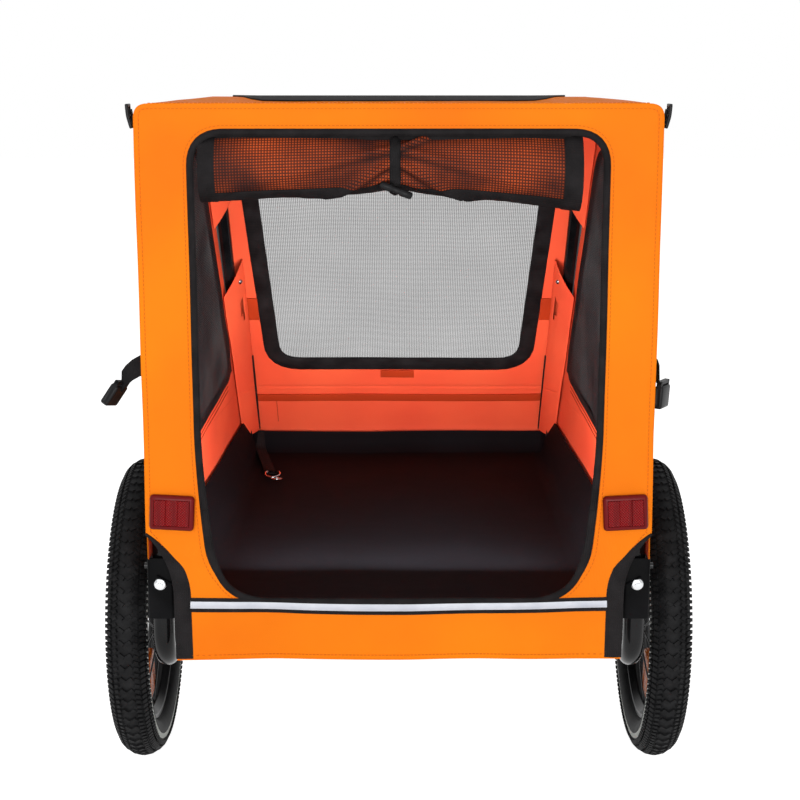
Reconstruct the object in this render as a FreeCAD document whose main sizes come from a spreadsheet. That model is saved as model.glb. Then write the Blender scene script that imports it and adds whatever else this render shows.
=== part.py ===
import FreeCAD, Part
import math
import os
import re
from types import SimpleNamespace

import Sketcher
from FreeCAD import Placement, Rotation, Vector

# Dog bike trailer: two spoked wheels, a tube frame with two folding hoops, a cloth cabin and a drawbar.
# The hitch points along +Y, the door faces -Y, +Z is up and the tyres stand on Z = 0.

SIZES = (
    # clearances
    ("running_gap", 0.05, "radial gap of a pin or shaft in its bore"),
    ("seat_gap", 0.3, "gap between pieces that lie on each other"),
    # wheels
    ("wheel_radius", 200, "tyre outer radius"),
    ("wheel_offset", 54, "wheel plane outside the rear hoop's leg"),
    ("tyre_width", 52, "tyre section width"),
    ("tyre_wall", 4, "tyre wall thickness"),
    ("bead_half", 12, "half the distance between the tyre beads"),
    ("rim_half", 15, "half the rim width"),
    ("rim_depth", 13, "rim height from its inner edge to the tyre seat"),
    ("rim_flat", 5, "straight part of the rim wall below the seat"),
    ("rim_nose_half", 6, "half the width of the rim's inner edge"),
    ("hub_half", 25, "half the hub length"),
    ("hub_radius", 18, "hub shell radius"),
    ("flange_radius", 27, "spoke flange radius"),
    ("flange_offset", 18, "flange distance from the wheel plane"),
    ("flange_width", 3, "flange thickness"),
    ("bearing_radius", 14, "bearing outer radius"),
    ("bearing_width", 8, "bearing width"),
    ("axle_radius", 6, "wheel axle radius"),
    ("axle_head_radius", 11, "axle head radius"),
    ("axle_head_length", 4, "axle head thickness"),
    ("button_radius", 4, "release button radius"),
    ("button_proud", 4, "button length outside the axle head"),
    ("button_depth", 14, "button length inside the axle"),
    ("button_travel", 3, "how far the button can be pressed"),
    ("spoke_radius", 1.2, "spoke wire radius"),
    ("spoke_count", 20, "spokes in a wheel"),
    ("spoke_seat_half", 3, "spoke distance from the wheel plane at the rim"),
    ("valve_radius", 4, "valve stem radius"),
    ("valve_length", 28, "valve stem length"),
    ("spoke_reflector_length", 62, "spoke reflector length along the spokes"),
    ("spoke_reflector_width", 44, "spoke reflector width"),
    ("spoke_reflector_thickness", 12, "spoke reflector thickness"),
    ("spoke_reflector_offset", 12, "gap from the rim to the spoke reflector"),
    # tube frame
    ("tube_radius", 11, "floor and hoop tube radius"),
    ("tube_wall", 1.6, "tube wall thickness"),
    ("bow_radius", 13, "wheel bow tube radius"),
    ("bow_bend", 42, "wheel bow bend radius"),
    ("bow_front", 230, "wheel bow front upright, ahead of the axle"),
    ("gusset_length", 60, "length of the plate that joins bow and floor tube"),
    ("gusset_height", 18, "height of the plate that joins bow and floor tube"),
    ("receiver_radius", 10, "axle receiver outer radius"),
    ("receiver_inset", 22, "receiver reach inboard of the bow centre"),
    ("receiver_outset", 25, "receiver reach outboard of the bow centre"),
    ("floor_tube_height", 268, "floor tube centre height"),
    ("bow_front_rise", 16, "top end of the front upright above the floor tube"),
    ("bow_front_top", "=floor_tube_height + bow_front_rise", "top end of the front upright"),
    ("frame_rear", 226, "rear cross tube, behind the axle"),
    ("frame_front", 600, "front cross tube, ahead of the axle"),
    ("frame_bend", 30, "floor frame corner bend radius"),
    ("cross_tube_front", 330, "front floor cross tube, ahead of the axle"),
    ("hoop_half", 286, "half the width between the rear hoop legs"),
    ("hoop_top", 862, "hoop top tube centre height"),
    ("hoop_bend", 30, "hoop corner bend radius"),
    ("pivot_rise", 58, "hoop pivot pin above the floor tube"),
    ("pivot_height", "=floor_tube_height + pivot_rise", "hoop pivot pin height"),
    ("front_pivot", 560, "front hoop pivot, ahead of the axle"),
    ("front_hoop_top", 150, "front hoop top tube, ahead of the axle"),
    ("leg_end", 6, "hoop leg length below its pivot"),
    ("pin_radius", 4, "hoop pivot pin radius"),
    ("pin_overhang", 5, "pivot pin length outside its bracket"),
    ("bracket_wall", 2.5, "bracket sheet thickness"),
    ("bracket_rear_room", 1.2, "room between the bow and the bracket's rear plate"),
    ("bracket_depth", 64, "rear bracket depth"),
    ("bracket_drop", 4, "rear bracket lower edge below the floor tube's centre"),
    ("bracket_bottom", "=floor_tube_height - bracket_drop", "rear bracket lower edge"),
    ("bracket_rise", 72, "bracket upper edge above the floor tube"),
    ("bracket_top", "=floor_tube_height + bracket_rise", "bracket upper edge"),
    ("front_bracket_length", 44, "front bracket length"),
    ("bow_rise", 41, "top end of the bow above the floor tube"),
    ("bow_top", "=floor_tube_height + bow_rise", "top end of the bow inside its rear bracket"),
    ("bolt_rise", 30, "bracket bolt above the floor tube"),
    ("bolt_height", "=floor_tube_height + bolt_rise", "bracket bolt height"),
    ("bolt_radius", 4, "bracket bolt shank radius"),
    ("bolt_head_radius", 8, "bracket bolt head radius"),
    ("bolt_head_height", 4.5, "bracket bolt head height"),
    ("knob_radius", 17, "clamp knob radius"),
    ("knob_width", 14, "clamp knob thickness"),
    ("knob_lobes", 6, "grip scallops round a clamp knob"),
    ("knob_scallop", 5, "grip scallop radius"),
    # cloth cabin
    ("cloth", 2.7, "cloth wall thickness"),
    ("cloth_corner", 14, "inner radius of the cloth's upper corners"),
    ("net", 1.2, "mesh sheet thickness"),
    ("panel_rear", 250, "outer face of the rear panel, behind the axle"),
    ("skirt_inset", 18, "rear skirt's edge inside the hoop's leg"),
    ("skirt_half", "=hoop_half - skirt_inset", "half the width of the rear skirt"),
    ("skirt_drop", 53, "lower edge of the rear skirt below the floor tube"),
    ("skirt_bottom", "=floor_tube_height - skirt_drop", "lower edge of the rear skirt"),
    ("arch_rise", 105, "upper end of the wheel-arch cut-out above the floor tube"),
    ("arch_top", "=floor_tube_height + arch_rise", "upper end of the wheel-arch cut-out"),
    ("arch_bend", 60, "radius of the wheel-arch cut-out"),
    ("edge_band", 12, "width of the dark band along the skirt's sides"),
    ("door_inset", 52, "door's edge inside the hoop's leg"),
    ("door_half", "=hoop_half - door_inset", "half the door width"),
    ("sill_rise", 23, "door sill above the floor tube"),
    ("door_sill", "=floor_tube_height + sill_rise", "door sill height"),
    ("door_drop", 16, "door top below the hoop's top tube"),
    ("door_top", "=hoop_top - door_drop", "door top height"),
    ("door_top_bend", 36, "door upper corner radius"),
    ("door_sill_bend", 48, "door lower corner radius"),
    ("wall_rise", 44, "lower fold of the side walls above the floor tube"),
    ("wall_bottom", "=floor_tube_height + wall_rise", "lower fold of the side walls"),
    ("window_margin", 58, "side window distance from the wall's edges"),
    ("window_sill", 440, "side window lower edge"),
    ("window_bend", 36, "window corner radius"),
    ("front_window_inset", 60, "front window's edge at its top inside the hoop's leg"),
    ("front_window_half", "=hoop_half - front_window_inset", "half the front window width at its top"),
    ("front_sill_inset", 78, "front window's edge at its sill inside the hoop's leg"),
    ("front_window_sill_half", "=hoop_half - front_sill_inset", "half the front window width at its sill"),
    ("front_window_start", 150, "front window sill, up the slope from the pivot"),
    ("front_window_end", 600, "front window top, up the slope from the pivot"),
    ("front_foot_top", 74, "where the front panel starts to narrow, up the slope from the pivot"),
    ("front_foot_bottom", 30, "where the front panel is narrow, up the slope from the pivot"),
    ("front_foot_bend", 10, "corner radius of the front panel's foot"),
    ("front_panel_drop", 46, "front panel length below the pivot, along the slope"),
    ("roof_front", 166, "roof front edge, ahead of the axle"),
    ("strip_inset", 45, "roof binding strip's end inside the hoop's leg"),
    ("strip_half", "=hoop_half - strip_inset", "half the length of the roof binding strip"),
    ("strip_width", 12, "roof binding strip width"),
    ("strip_height", 5, "roof binding strip height"),
    ("floor_inset", 44, "floor sheet's edge inside the hoop's leg"),
    ("floor_half", "=hoop_half - floor_inset", "half the width of the floor sheet"),
    ("floor_flap", 28, "height of the floor sheet's turned-up flaps"),
    ("roll_room", 14, "room between the rolled door's end and the door's edge"),
    ("roll_half", "=door_half - roll_room", "half the length of the rolled door"),
    ("roll_radius", 39, "rolled door radius at its fullest"),
    ("roll_waist", 33, "rolled door radius under its strap"),
    ("roll_end", 38, "rolled door radius at its ends"),
    ("roll_drop", 40, "rolled door centre below the top of the door"),
    ("roll_height", "=door_top - roll_drop", "rolled door centre height"),
    ("roll_inset", 31, "rolled door centre, ahead of the rear panel's outer face"),
    ("strap_width", 9, "door strap width"),
    ("strap_thickness", 1.6, "webbing thickness"),
    ("strap_room", 1.2, "room between the rolled door and its strap"),
    ("toggle_radius", 4.5, "toggle rod radius"),
    ("toggle_length", 40, "toggle rod length"),
    ("toggle_tilt", 20, "toggle rod tilt in degrees"),
    ("reflector_width", 54, "rear reflector width"),
    ("reflector_height", 44, "rear reflector height"),
    ("reflector_depth", 10, "rear reflector depth"),
    ("reflector_bend", 6, "rear reflector corner radius"),
    ("reflector_inset", 18, "rear reflector's middle inside the hoop's leg"),
    ("reflector_half", "=hoop_half - reflector_inset", "half the distance between the rear reflectors"),
    ("reflector_rise", 132, "rear reflector centre above the floor tube"),
    ("reflector_centre", "=floor_tube_height + reflector_rise", "rear reflector centre height"),
    ("stripe_height", 15, "reflective stripe height"),
    ("stripe_rise", 18, "reflective stripe centre above the floor tube"),
    ("stripe_centre", "=floor_tube_height + stripe_rise", "reflective stripe centre height"),
    ("stripe_thickness", 1, "reflective stripe thickness"),
    ("webbing_width", 25, "side strap width"),
    ("side_strap_height", 546, "side strap centre height"),
    ("side_strap_length", 22, "side strap length outside the wall"),
    ("buckle_length", 32, "side buckle length"),
    ("buckle_width", 30, "side buckle width"),
    ("buckle_thickness", 11, "side buckle thickness"),
    ("buckle_wall", 2.5, "side buckle shell thickness"),
    ("lock_width", 20, "corner ladder-lock width"),
    ("lock_height", 28, "corner ladder-lock height"),
    ("lock_thickness", 5, "corner ladder-lock thickness"),
    ("lock_drop", 17, "corner ladder-lock centre below the hoop's top tube"),
    ("lock_centre", "=hoop_top - lock_drop", "corner ladder-lock centre height"),
    ("lock_bar", 4, "corner ladder-lock bar width"),
    ("tether_length", 190, "tether strap length"),
    ("tether_width", 16, "tether strap width"),
    ("tether_turn", 12, "tether strap angle from the travel direction in degrees"),
    ("tether_side", 216, "tether anchor, left of the middle"),
    ("tether_front", 560, "tether anchor, ahead of the axle"),
    ("ring_radius", 13, "tether ring radius"),
    ("ring_wire", 2, "tether ring wire radius"),
    # drawbar and hitch
    ("drawbar_side", 200, "drawbar distance left of the middle"),
    ("drawbar_length", 520, "drawbar length between its pivot and the yoke pin"),
    ("drawbar_size", 25, "drawbar square section"),
    ("drawbar_wall", 2, "drawbar wall thickness"),
    ("drawbar_plug", 40, "solid end of the drawbar round each pin"),
    ("socket_wall", 3, "drawbar socket plate thickness"),
    ("socket_width", 46, "drawbar socket width"),
    ("socket_length", 46, "drawbar socket length"),
    ("drawbar_bolt_radius", 5, "drawbar pivot bolt radius"),
    ("drawbar_bolt_head", 9, "drawbar pivot bolt head radius"),
    ("drawbar_bolt_head_height", 5, "drawbar pivot bolt head height"),
    ("yoke_width", 32, "hitch yoke width"),
    ("yoke_plate", 6, "hitch yoke plate thickness"),
    ("yoke_back", 14, "hitch yoke length behind its pin"),
    ("yoke_web", 8, "hitch yoke web thickness"),
    ("yoke_room", 2, "room between the yoke web and what turns beside it"),
    ("link_thickness", 12, "hitch link thickness"),
    ("link_height", 22, "hitch link height"),
    ("link_length", 58, "distance between the hitch link's holes"),
    ("link_hole_radius", 5.25, "hitch link hole radius for the bicycle's axle"),
    ("hitch_pin_radius", 4, "hitch pin radius"),
)

doc = FreeCAD.newDocument("dog_bike_trailer")
sheet = doc.addObject("Spreadsheet::Sheet", "sizes")
nodes = []

# share of half a bar's width that its rounded ends take
ROUND_END = 0.99

AXIS_X = Vector(1, 0, 0)
AXIS_Y = Vector(0, 1, 0)
AXIS_Z = Vector(0, 0, 1)


def fill_sheet():
    for row, (alias, value, meaning) in enumerate(SIZES, start=1):
        sheet.set(f"A{row}", meaning)
        sheet.set(f"B{row}", str(value))
        sheet.setAlias(f"B{row}", alias)
    doc.recompute()
    return SimpleNamespace(**{alias: float(sheet.get(alias)) for alias, _, _ in SIZES})


def work_out(s):
    """Places that follow from the driving sizes."""
    s.wheel_x = s.hoop_half + s.wheel_offset
    s.bracket_half = s.bow_radius + s.seat_gap + s.bracket_wall
    s.frame_half = s.hoop_half - s.bracket_half - s.seat_gap - s.tube_radius
    s.tube_centre = s.wheel_radius - s.tyre_width / 2
    s.rim_seat = s.tube_centre - math.sqrt((s.tyre_width / 2) ** 2 - s.bead_half ** 2) - s.seat_gap
    s.rim_inner = s.rim_seat - s.rim_depth
    s.lean = math.degrees(math.atan2(s.front_pivot - s.front_hoop_top, s.hoop_top - s.pivot_height))
    s.slope_length = math.hypot(s.front_pivot - s.front_hoop_top, s.hoop_top - s.pivot_height)
    s.wall_inner = s.hoop_half + s.tube_radius + s.seat_gap
    s.body_half = s.wall_inner + s.cloth
    s.front_half = s.frame_half + s.tube_radius + s.seat_gap
    s.roof_inner = s.hoop_top + s.tube_radius + s.seat_gap
    s.roof_outer = s.roof_inner + s.cloth
    s.corner_start = s.roof_inner - s.cloth_corner
    s.floor_bottom = s.floor_tube_height + s.tube_radius + s.seat_gap
    s.floor_top = s.floor_bottom + s.cloth
    s.rear_plate = s.frame_rear + s.bow_radius + s.bracket_rear_room + s.bracket_wall
    s.drawbar_y = s.frame_front - s.tube_radius
    s.socket_top = s.floor_tube_height - s.tube_radius - s.seat_gap
    s.drawbar_top = s.socket_top - s.socket_wall - s.seat_gap
    s.drawbar_height = s.drawbar_top - s.drawbar_size / 2
    s.yaw_y = s.drawbar_y + s.drawbar_length
    s.web_y = s.yaw_y + s.drawbar_size / 2 + s.yoke_room
    s.pitch_y = s.web_y + s.yoke_web + s.yoke_room + s.link_height / 2
    s.front_reach = s.pitch_y + s.link_length + s.link_height / 2
    s.rear_reach = s.panel_rear + s.seat_gap + s.reflector_depth
    s.axle_y = (s.rear_reach - s.front_reach) / 2
    return s


s = work_out(fill_sheet())


def at(x, y, z):
    """A point of the trailer, with y counted from the axle."""
    return Vector(x, y + s.axle_y, z)


def formula(text):
    return re.sub(r"[a-z_]{2,}", lambda word: "sizes." + word.group(), text)


def bind(item, **settings):
    for setting, text in settings.items():
        item.setExpression(setting, formula(text))
    return item


def node(label, item):
    item.Label = label
    nodes.append(item)
    return item


def cylinder(name, radius, length, base, axis=AXIS_Z):
    item = bind(doc.addObject("Part::Cylinder", name), Radius=radius, Height=length)
    item.Placement = Placement(base, Rotation(AXIS_Z, axis))
    return item


def box(name, width, depth, height, corner, turn=Rotation()):
    item = bind(doc.addObject("Part::Box", name), Length=width, Width=depth, Height=height)
    item.Placement = Placement(corner, turn)
    return item


def cut(name, base, *tools):
    for number, tool in enumerate(tools):
        item = doc.addObject("Part::Cut", f"{name}_cut{number}")
        item.Base = base
        item.Tool = tool
        base = item
    return base


def fuse(name, *items):
    item = doc.addObject("Part::MultiFuse", name)
    item.Shapes = list(items)
    return item


def group(name, *items):
    item = doc.addObject("Part::Compound", name)
    item.Links = list(items)
    return item


def mirrored(name, source):
    item = doc.addObject("Part::Mirroring", name)
    item.Source = source
    item.Normal = AXIS_X
    return item


def both_sides(label, source):
    """The right piece and its mirror image on the left, as two nodes."""
    node(label + "_right", source)
    node(label + "_left", mirrored(label + "_left", source))


def pair(label, source):
    """The right piece and its mirror image on the left, as two solids of one node."""
    node(label, group(label, source, mirrored(label + "_mirror", source)))


def unit(vector):
    return vector / vector.Length


def rounded(points, closed=True):
    """Lines and tangent arcs through (x, y, bend radius) points."""
    edges = []
    ends = []
    count = len(points)
    for index, (x, y, bend) in enumerate(points):
        corner = Vector(x, y, 0)
        inside = closed or 0 < index < count - 1
        if not inside or not bend:
            ends.append((corner, corner))
            continue
        before = unit(Vector(*points[index - 1][:2], 0) - corner)
        after = unit(Vector(*points[(index + 1) % count][:2], 0) - corner)
        half = before.getAngle(after) / 2
        reach = bend / math.tan(half)
        middle = corner + unit(before + after) * (bend / math.sin(half) - bend)
        start, stop = corner + before * reach, corner + after * reach
        edges.append(Part.Arc(start, middle, stop))
        ends.append((start, stop))
    last = count if closed else count - 1
    for index in range(last):
        start, stop = ends[index][1], ends[(index + 1) % count][0]
        if (stop - start).Length > 1e-6:
            edges.append(Part.LineSegment(start, stop))
    return edges


def sketch(body, role, edges):
    plane = next(item for item in body.Origin.OriginFeatures if item.Role == role)
    item = body.newObject("Sketcher::SketchObject", body.Name + "_sketch")
    item.AttachmentSupport = (plane, [""])
    item.MapMode = "FlatFace"
    item.addGeometry(edges, False)
    return item


def new_body(name, placement):
    body = doc.addObject("PartDesign::Body", name)
    body.Placement = placement
    return body


def flat_piece(name, role, outlines, thickness, placement):
    """A flat piece: outlines drawn on one plane and padded."""
    body = new_body(name, placement)
    edges = [edge for outline in outlines for edge in outline]
    pad = body.newObject("PartDesign::Pad", name + "_pad")
    pad.Profile = sketch(body, role, edges)
    bind(pad, Length=thickness)
    return body


def turned(name, outline, placement):
    """A piece turned round the X axis from an (x, radius) outline."""
    body = new_body(name, placement)
    profile = sketch(body, "XZ_Plane", outline)
    turn = body.newObject("PartDesign::Revolution", name + "_turn")
    turn.Profile = profile
    turn.ReferenceAxis = (profile, ["H_Axis"])
    turn.Angle = 360
    return body


def bent_tube(name, role, section_role, points, radius, placement, closed=False):
    """A hollow tube bent along a path in one plane, which starts square to the section's plane."""
    body = new_body(name, placement)
    path = sketch(body, role, rounded(points, closed))
    centre = {"XY_Plane": Vector(points[0][0], 0, 0), "YZ_Plane": Vector(points[0][1], 0, 0)}[section_role]
    if role == "YZ_Plane":
        centre = Vector(0, points[0][0], 0)
    section = sketch(body, section_role, [Part.Circle(centre, AXIS_Z, 2), Part.Circle(centre, AXIS_Z, 1)])
    for index, text in enumerate((radius, f"{radius} - tube_wall")):
        section.addConstraint(Sketcher.Constraint("Radius", index, 2 - index))
        section.setExpression(f"Constraints[{index}]", formula(text))
    pipe = body.newObject("PartDesign::AdditivePipe", name + "_pipe")
    pipe.Profile = section
    pipe.Spine = (path, [])
    return body


def wheel_place(offset=0):
    return at(s.wheel_x + offset, 0, s.wheel_radius)


def make_tyre():
    outer = s.tyre_width / 2
    inner = outer - s.tyre_wall
    lip_half = s.bead_half - s.tyre_wall
    bead = s.tube_centre - math.sqrt(outer ** 2 - s.bead_half ** 2)
    lip = s.tube_centre - math.sqrt(inner ** 2 - lip_half ** 2)
    crown = s.tube_centre + outer
    liner = s.tube_centre + inner
    outline = [
        Part.Arc(Vector(-s.bead_half, bead, 0), Vector(0, crown, 0), Vector(s.bead_half, bead, 0)),
        Part.LineSegment(Vector(s.bead_half, bead, 0), Vector(lip_half, lip, 0)),
        Part.Arc(Vector(lip_half, lip, 0), Vector(0, liner, 0), Vector(-lip_half, lip, 0)),
        Part.LineSegment(Vector(-lip_half, lip, 0), Vector(-s.bead_half, bead, 0)),
    ]
    both_sides("tyre", turned("tyre", outline, Placement(wheel_place(), Rotation())))


def make_rim():
    wall = s.rim_seat - s.rim_flat
    half = [(s.rim_half, s.rim_seat, 0), (s.rim_half, wall, 2), (s.rim_nose_half, s.rim_inner, 3)]
    other = [(-x, radius, bend) for x, radius, bend in reversed(half)]
    both_sides("rim", turned("rim", rounded(half + other), Placement(wheel_place(), Rotation())))


def make_hub():
    near = s.flange_offset - s.flange_width / 2
    far = s.flange_offset + s.flange_width / 2
    half = [
        (s.hub_half, s.bearing_radius + s.running_gap, 0),
        (s.hub_half, s.hub_radius, 2),
        (far, s.hub_radius, 0),
        (far, s.flange_radius, 0),
        (near, s.flange_radius, 0),
        (near, s.hub_radius, 0),
    ]
    other = [(-x, radius, bend) for x, radius, bend in reversed(half)]
    both_sides("hub", turned("hub", rounded(half + other), Placement(wheel_place(), Rotation())))


def make_bearings():
    rings = []
    for side in (-1, 1):
        start = side * (s.hub_half - s.bearing_width / 2) - s.bearing_width / 2
        ring = cylinder("bearing", "bearing_radius", "bearing_width", wheel_place(start), AXIS_X)
        place = wheel_place(start)
        bore = cylinder("bearing_bore", "axle_radius + running_gap", "bearing_width", place, AXIS_X)
        rings.append(cut("bearing", ring, bore))
    both_sides("bearings", group("bearings", *rings))


def make_axle_and_button():
    inner_end = s.hoop_half - s.receiver_inset - s.wheel_x
    head = s.hub_half + s.seat_gap
    outer_end = head + s.axle_head_length
    bore_end = outer_end - s.button_depth - s.button_travel - s.seat_gap
    bore = s.button_radius + s.running_gap
    outline = [
        (inner_end, 0, 0),
        (inner_end, s.axle_radius, 2),
        (head, s.axle_radius, 0),
        (head, s.axle_head_radius, 0),
        (outer_end, s.axle_head_radius, 1.5),
        (outer_end, bore, 0),
        (bore_end, bore, 0),
        (bore_end, 0, 0),
    ]
    both_sides("axle", turned("axle", rounded(outline), Placement(wheel_place(), Rotation())))
    start = wheel_place(outer_end - s.button_depth)
    button = cylinder("button", "button_radius", "button_depth + button_proud", start, AXIS_X)
    both_sides("release_button", button)


def spoke_line(index):
    """Where a spoke starts at its flange and the way it runs to the rim."""
    angle = 2 * math.pi * index / s.spoke_count
    side = 1 if index % 2 else -1
    out = Vector(0, math.sin(angle), math.cos(angle))
    start = out * (s.flange_radius + s.seat_gap) + AXIS_X * side * s.flange_offset
    stop = out * (s.rim_inner - s.seat_gap) + AXIS_X * side * s.spoke_seat_half
    return start, stop


def spoke_wire(index, radius):
    start, stop = spoke_line(index)
    return Part.makeCylinder(radius, (stop - start).Length, start + wheel_place(), stop - start)


def make_spokes():
    wires = doc.addObject("Part::Feature", "spokes")
    count = int(s.spoke_count)
    wires.Shape = Part.makeCompound([spoke_wire(index, s.spoke_radius) for index in range(count)])
    both_sides("spokes", wires)


def make_spoke_reflector():
    """A reflector clipped over two neighbouring spokes, below the hub."""
    first = int(s.spoke_count // 2)
    angle = 2 * math.pi * (first + 0.5) / s.spoke_count
    turn = Rotation(AXIS_X, -math.degrees(angle))
    start = s.rim_inner - s.spoke_reflector_offset - s.spoke_reflector_length
    corner = Vector(-s.spoke_reflector_thickness / 2, -s.spoke_reflector_width / 2, start)
    plate = box(
        "spoke_reflector",
        "spoke_reflector_thickness",
        "spoke_reflector_width",
        "spoke_reflector_length",
        wheel_place() + turn.multVec(corner),
        turn,
    )
    slots = []
    for index in (first, first + 1):
        slot = doc.addObject("Part::Feature", "spoke_slot")
        slot.Shape = spoke_wire(index, s.spoke_radius + s.seat_gap)
        slots.append(slot)
    both_sides("spoke_reflector", cut("spoke_reflector", plate, *slots))


def make_valve():
    angle = math.pi / s.spoke_count
    out = Vector(0, math.sin(angle), math.cos(angle))
    start = wheel_place() + out * (s.rim_inner - s.seat_gap - s.valve_length)
    both_sides("tyre_valve", cylinder("tyre_valve", "valve_radius", "valve_length", start, out))


def make_floor_frame():
    y_rear = s.axle_y - s.frame_rear
    y_front = s.axle_y + s.frame_front
    corners = [(0, y_rear, 0)]
    for x, y in ((1, y_rear), (1, y_front), (-1, y_front), (-1, y_rear)):
        corners.append((x * s.frame_half, y, s.frame_bend))
    place = Placement(Vector(0, 0, s.floor_tube_height), Rotation())
    node("floor_frame", bent_tube("floor_frame", "XY_Plane", "YZ_Plane", corners, "tube_radius", place, True))


def make_cross_tubes():
    length = "2 * (hoop_half - bow_radius - bracket_wall - 2 * tube_radius - 3 * seat_gap)"
    start = s.frame_half - s.tube_radius - s.seat_gap
    tubes = []
    for y in (0, s.cross_tube_front):
        base = at(-start, y, s.floor_tube_height)
        outer = cylinder("cross_tube", "tube_radius", length, base, AXIS_X)
        inner = cylinder("cross_tube_bore", "tube_radius - tube_wall", length, base, AXIS_X)
        tubes.append(cut("cross_tube", outer, inner))
    node("floor_cross_tubes", group("floor_cross_tubes", *tubes))


def make_bow():
    run = [
        (s.axle_y - s.frame_rear, s.bow_top, 0),
        (s.axle_y - s.frame_rear, s.wheel_radius, s.bow_bend),
        (s.axle_y + s.bow_front, s.wheel_radius, s.bow_bend),
        (s.axle_y + s.bow_front, s.bow_front_top, 0),
    ]
    path = [(y, z - s.bow_top, bend) for y, z, bend in run]
    place = Placement(Vector(s.hoop_half, 0, s.bow_top), Rotation())
    tube = bent_tube("wheel_bow_tube", "YZ_Plane", "XY_Plane", path, "bow_radius", place)
    hole = cylinder(
        "receiver_hole",
        "receiver_radius + seat_gap",
        "receiver_inset + receiver_outset",
        at(s.hoop_half - s.receiver_inset, 0, s.wheel_radius),
        AXIS_X,
    )
    bolt_hole = cylinder(
        "bow_bolt_hole",
        "bolt_radius + running_gap",
        "4 * bow_radius",
        at(s.hoop_half, -s.frame_rear - 2 * s.bow_radius, s.bolt_height),
        AXIS_Y,
    )
    both_sides("wheel_bow", cut("wheel_bow", tube, hole, bolt_hole))


def make_receiver():
    start = at(s.hoop_half - s.receiver_inset, 0, s.wheel_radius)
    length = "receiver_inset + receiver_outset"
    sleeve = cylinder("receiver", "receiver_radius", length, start, AXIS_X)
    bore = cylinder("receiver_bore", "axle_radius + running_gap", length, start, AXIS_X)
    pair("axle_receivers", cut("receiver", sleeve, bore))


def make_gusset():
    start = s.frame_half + s.tube_radius + s.seat_gap
    plate = box(
        "bow_gusset",
        "bracket_wall - seat_gap",
        "gusset_length",
        "gusset_height",
        at(start, s.bow_front - s.gusset_length / 2, s.floor_tube_height - s.gusset_height / 2),
    )
    pair("bow_gussets", plate)


def make_rear_bracket():
    corner = at(s.hoop_half - s.bracket_half, -s.rear_plate, s.bracket_bottom)
    shell = box(
        "rear_bracket",
        "2 * (bow_radius + seat_gap + bracket_wall)",
        "bracket_depth",
        "bracket_top - bracket_bottom",
        corner,
    )
    hollow = box(
        "rear_bracket_hollow",
        "2 * (bow_radius + seat_gap)",
        "bracket_depth",
        "bracket_top - bracket_bottom",
        corner + Vector(s.bracket_wall, s.bracket_wall, 0),
    )
    pin_hole = cylinder(
        "rear_bracket_pin_hole",
        "pin_radius + running_gap",
        "4 * bow_radius",
        at(s.hoop_half - 2 * s.bow_radius, -s.frame_rear, s.pivot_height),
        AXIS_X,
    )
    bolt_hole = cylinder(
        "rear_bracket_bolt_hole",
        "bolt_radius + running_gap",
        "2 * bow_radius",
        at(s.hoop_half, -s.rear_plate - s.bow_radius, s.bolt_height),
        AXIS_Y,
    )
    both_sides("rear_bracket", cut("rear_bracket", shell, hollow, pin_hole, bolt_hole))


def make_bracket_bolt():
    face = at(s.hoop_half, -s.rear_plate - s.seat_gap / 2, s.bolt_height)
    shank_length = "2 * bow_radius + bracket_rear_room + bracket_wall"
    shank = cylinder("bolt_shank", "bolt_radius", shank_length, face, AXIS_Y)
    head = bind(
        doc.addObject("Part::Cone", "bolt_head"),
        Radius1="bolt_head_radius",
        Radius2="bolt_head_radius / 2",
        Height="bolt_head_height",
    )
    head.Placement = Placement(face, Rotation(AXIS_Z, -AXIS_Y))
    pair("bracket_bolts", fuse("bracket_bolt", shank, head))


def make_front_bracket():
    """A channel on top of the floor tube that holds a front hoop leg between its cheeks."""
    corner = at(
        s.frame_half - s.tube_radius - s.seat_gap - s.bracket_wall,
        s.front_pivot - s.front_bracket_length / 2,
        s.floor_bottom,
    )
    shell = box(
        "front_bracket",
        "2 * (tube_radius + seat_gap + bracket_wall)",
        "front_bracket_length",
        "bracket_top - floor_tube_height - tube_radius - seat_gap",
        corner,
    )
    hollow = box(
        "front_bracket_hollow",
        "2 * (tube_radius + seat_gap)",
        "front_bracket_length",
        "bracket_top - floor_tube_height",
        corner + Vector(s.bracket_wall, 0, s.bracket_wall),
    )
    pin_hole = cylinder(
        "front_bracket_pin_hole",
        "pin_radius + running_gap",
        "4 * tube_radius",
        at(s.frame_half - 2 * s.tube_radius, s.front_pivot, s.pivot_height),
        AXIS_X,
    )
    pair("front_brackets", cut("front_bracket", shell, hollow, pin_hole))


def make_pivot_pins():
    rear = cylinder(
        "rear_pivot_pin",
        "pin_radius",
        "2 * (bow_radius + seat_gap + bracket_wall + pin_overhang)",
        at(s.hoop_half - s.bracket_half - s.pin_overhang, -s.frame_rear, s.pivot_height),
        AXIS_X,
    )
    front_half = s.tube_radius + s.seat_gap + s.bracket_wall + s.pin_overhang
    front = cylinder(
        "front_pivot_pin",
        "pin_radius",
        "2 * (tube_radius + seat_gap + bracket_wall + pin_overhang)",
        at(s.frame_half - front_half, s.front_pivot, s.pivot_height),
        AXIS_X,
    )
    pair("hoop_pivot_pins", group("hoop_pivot_pin", rear, front))


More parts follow.
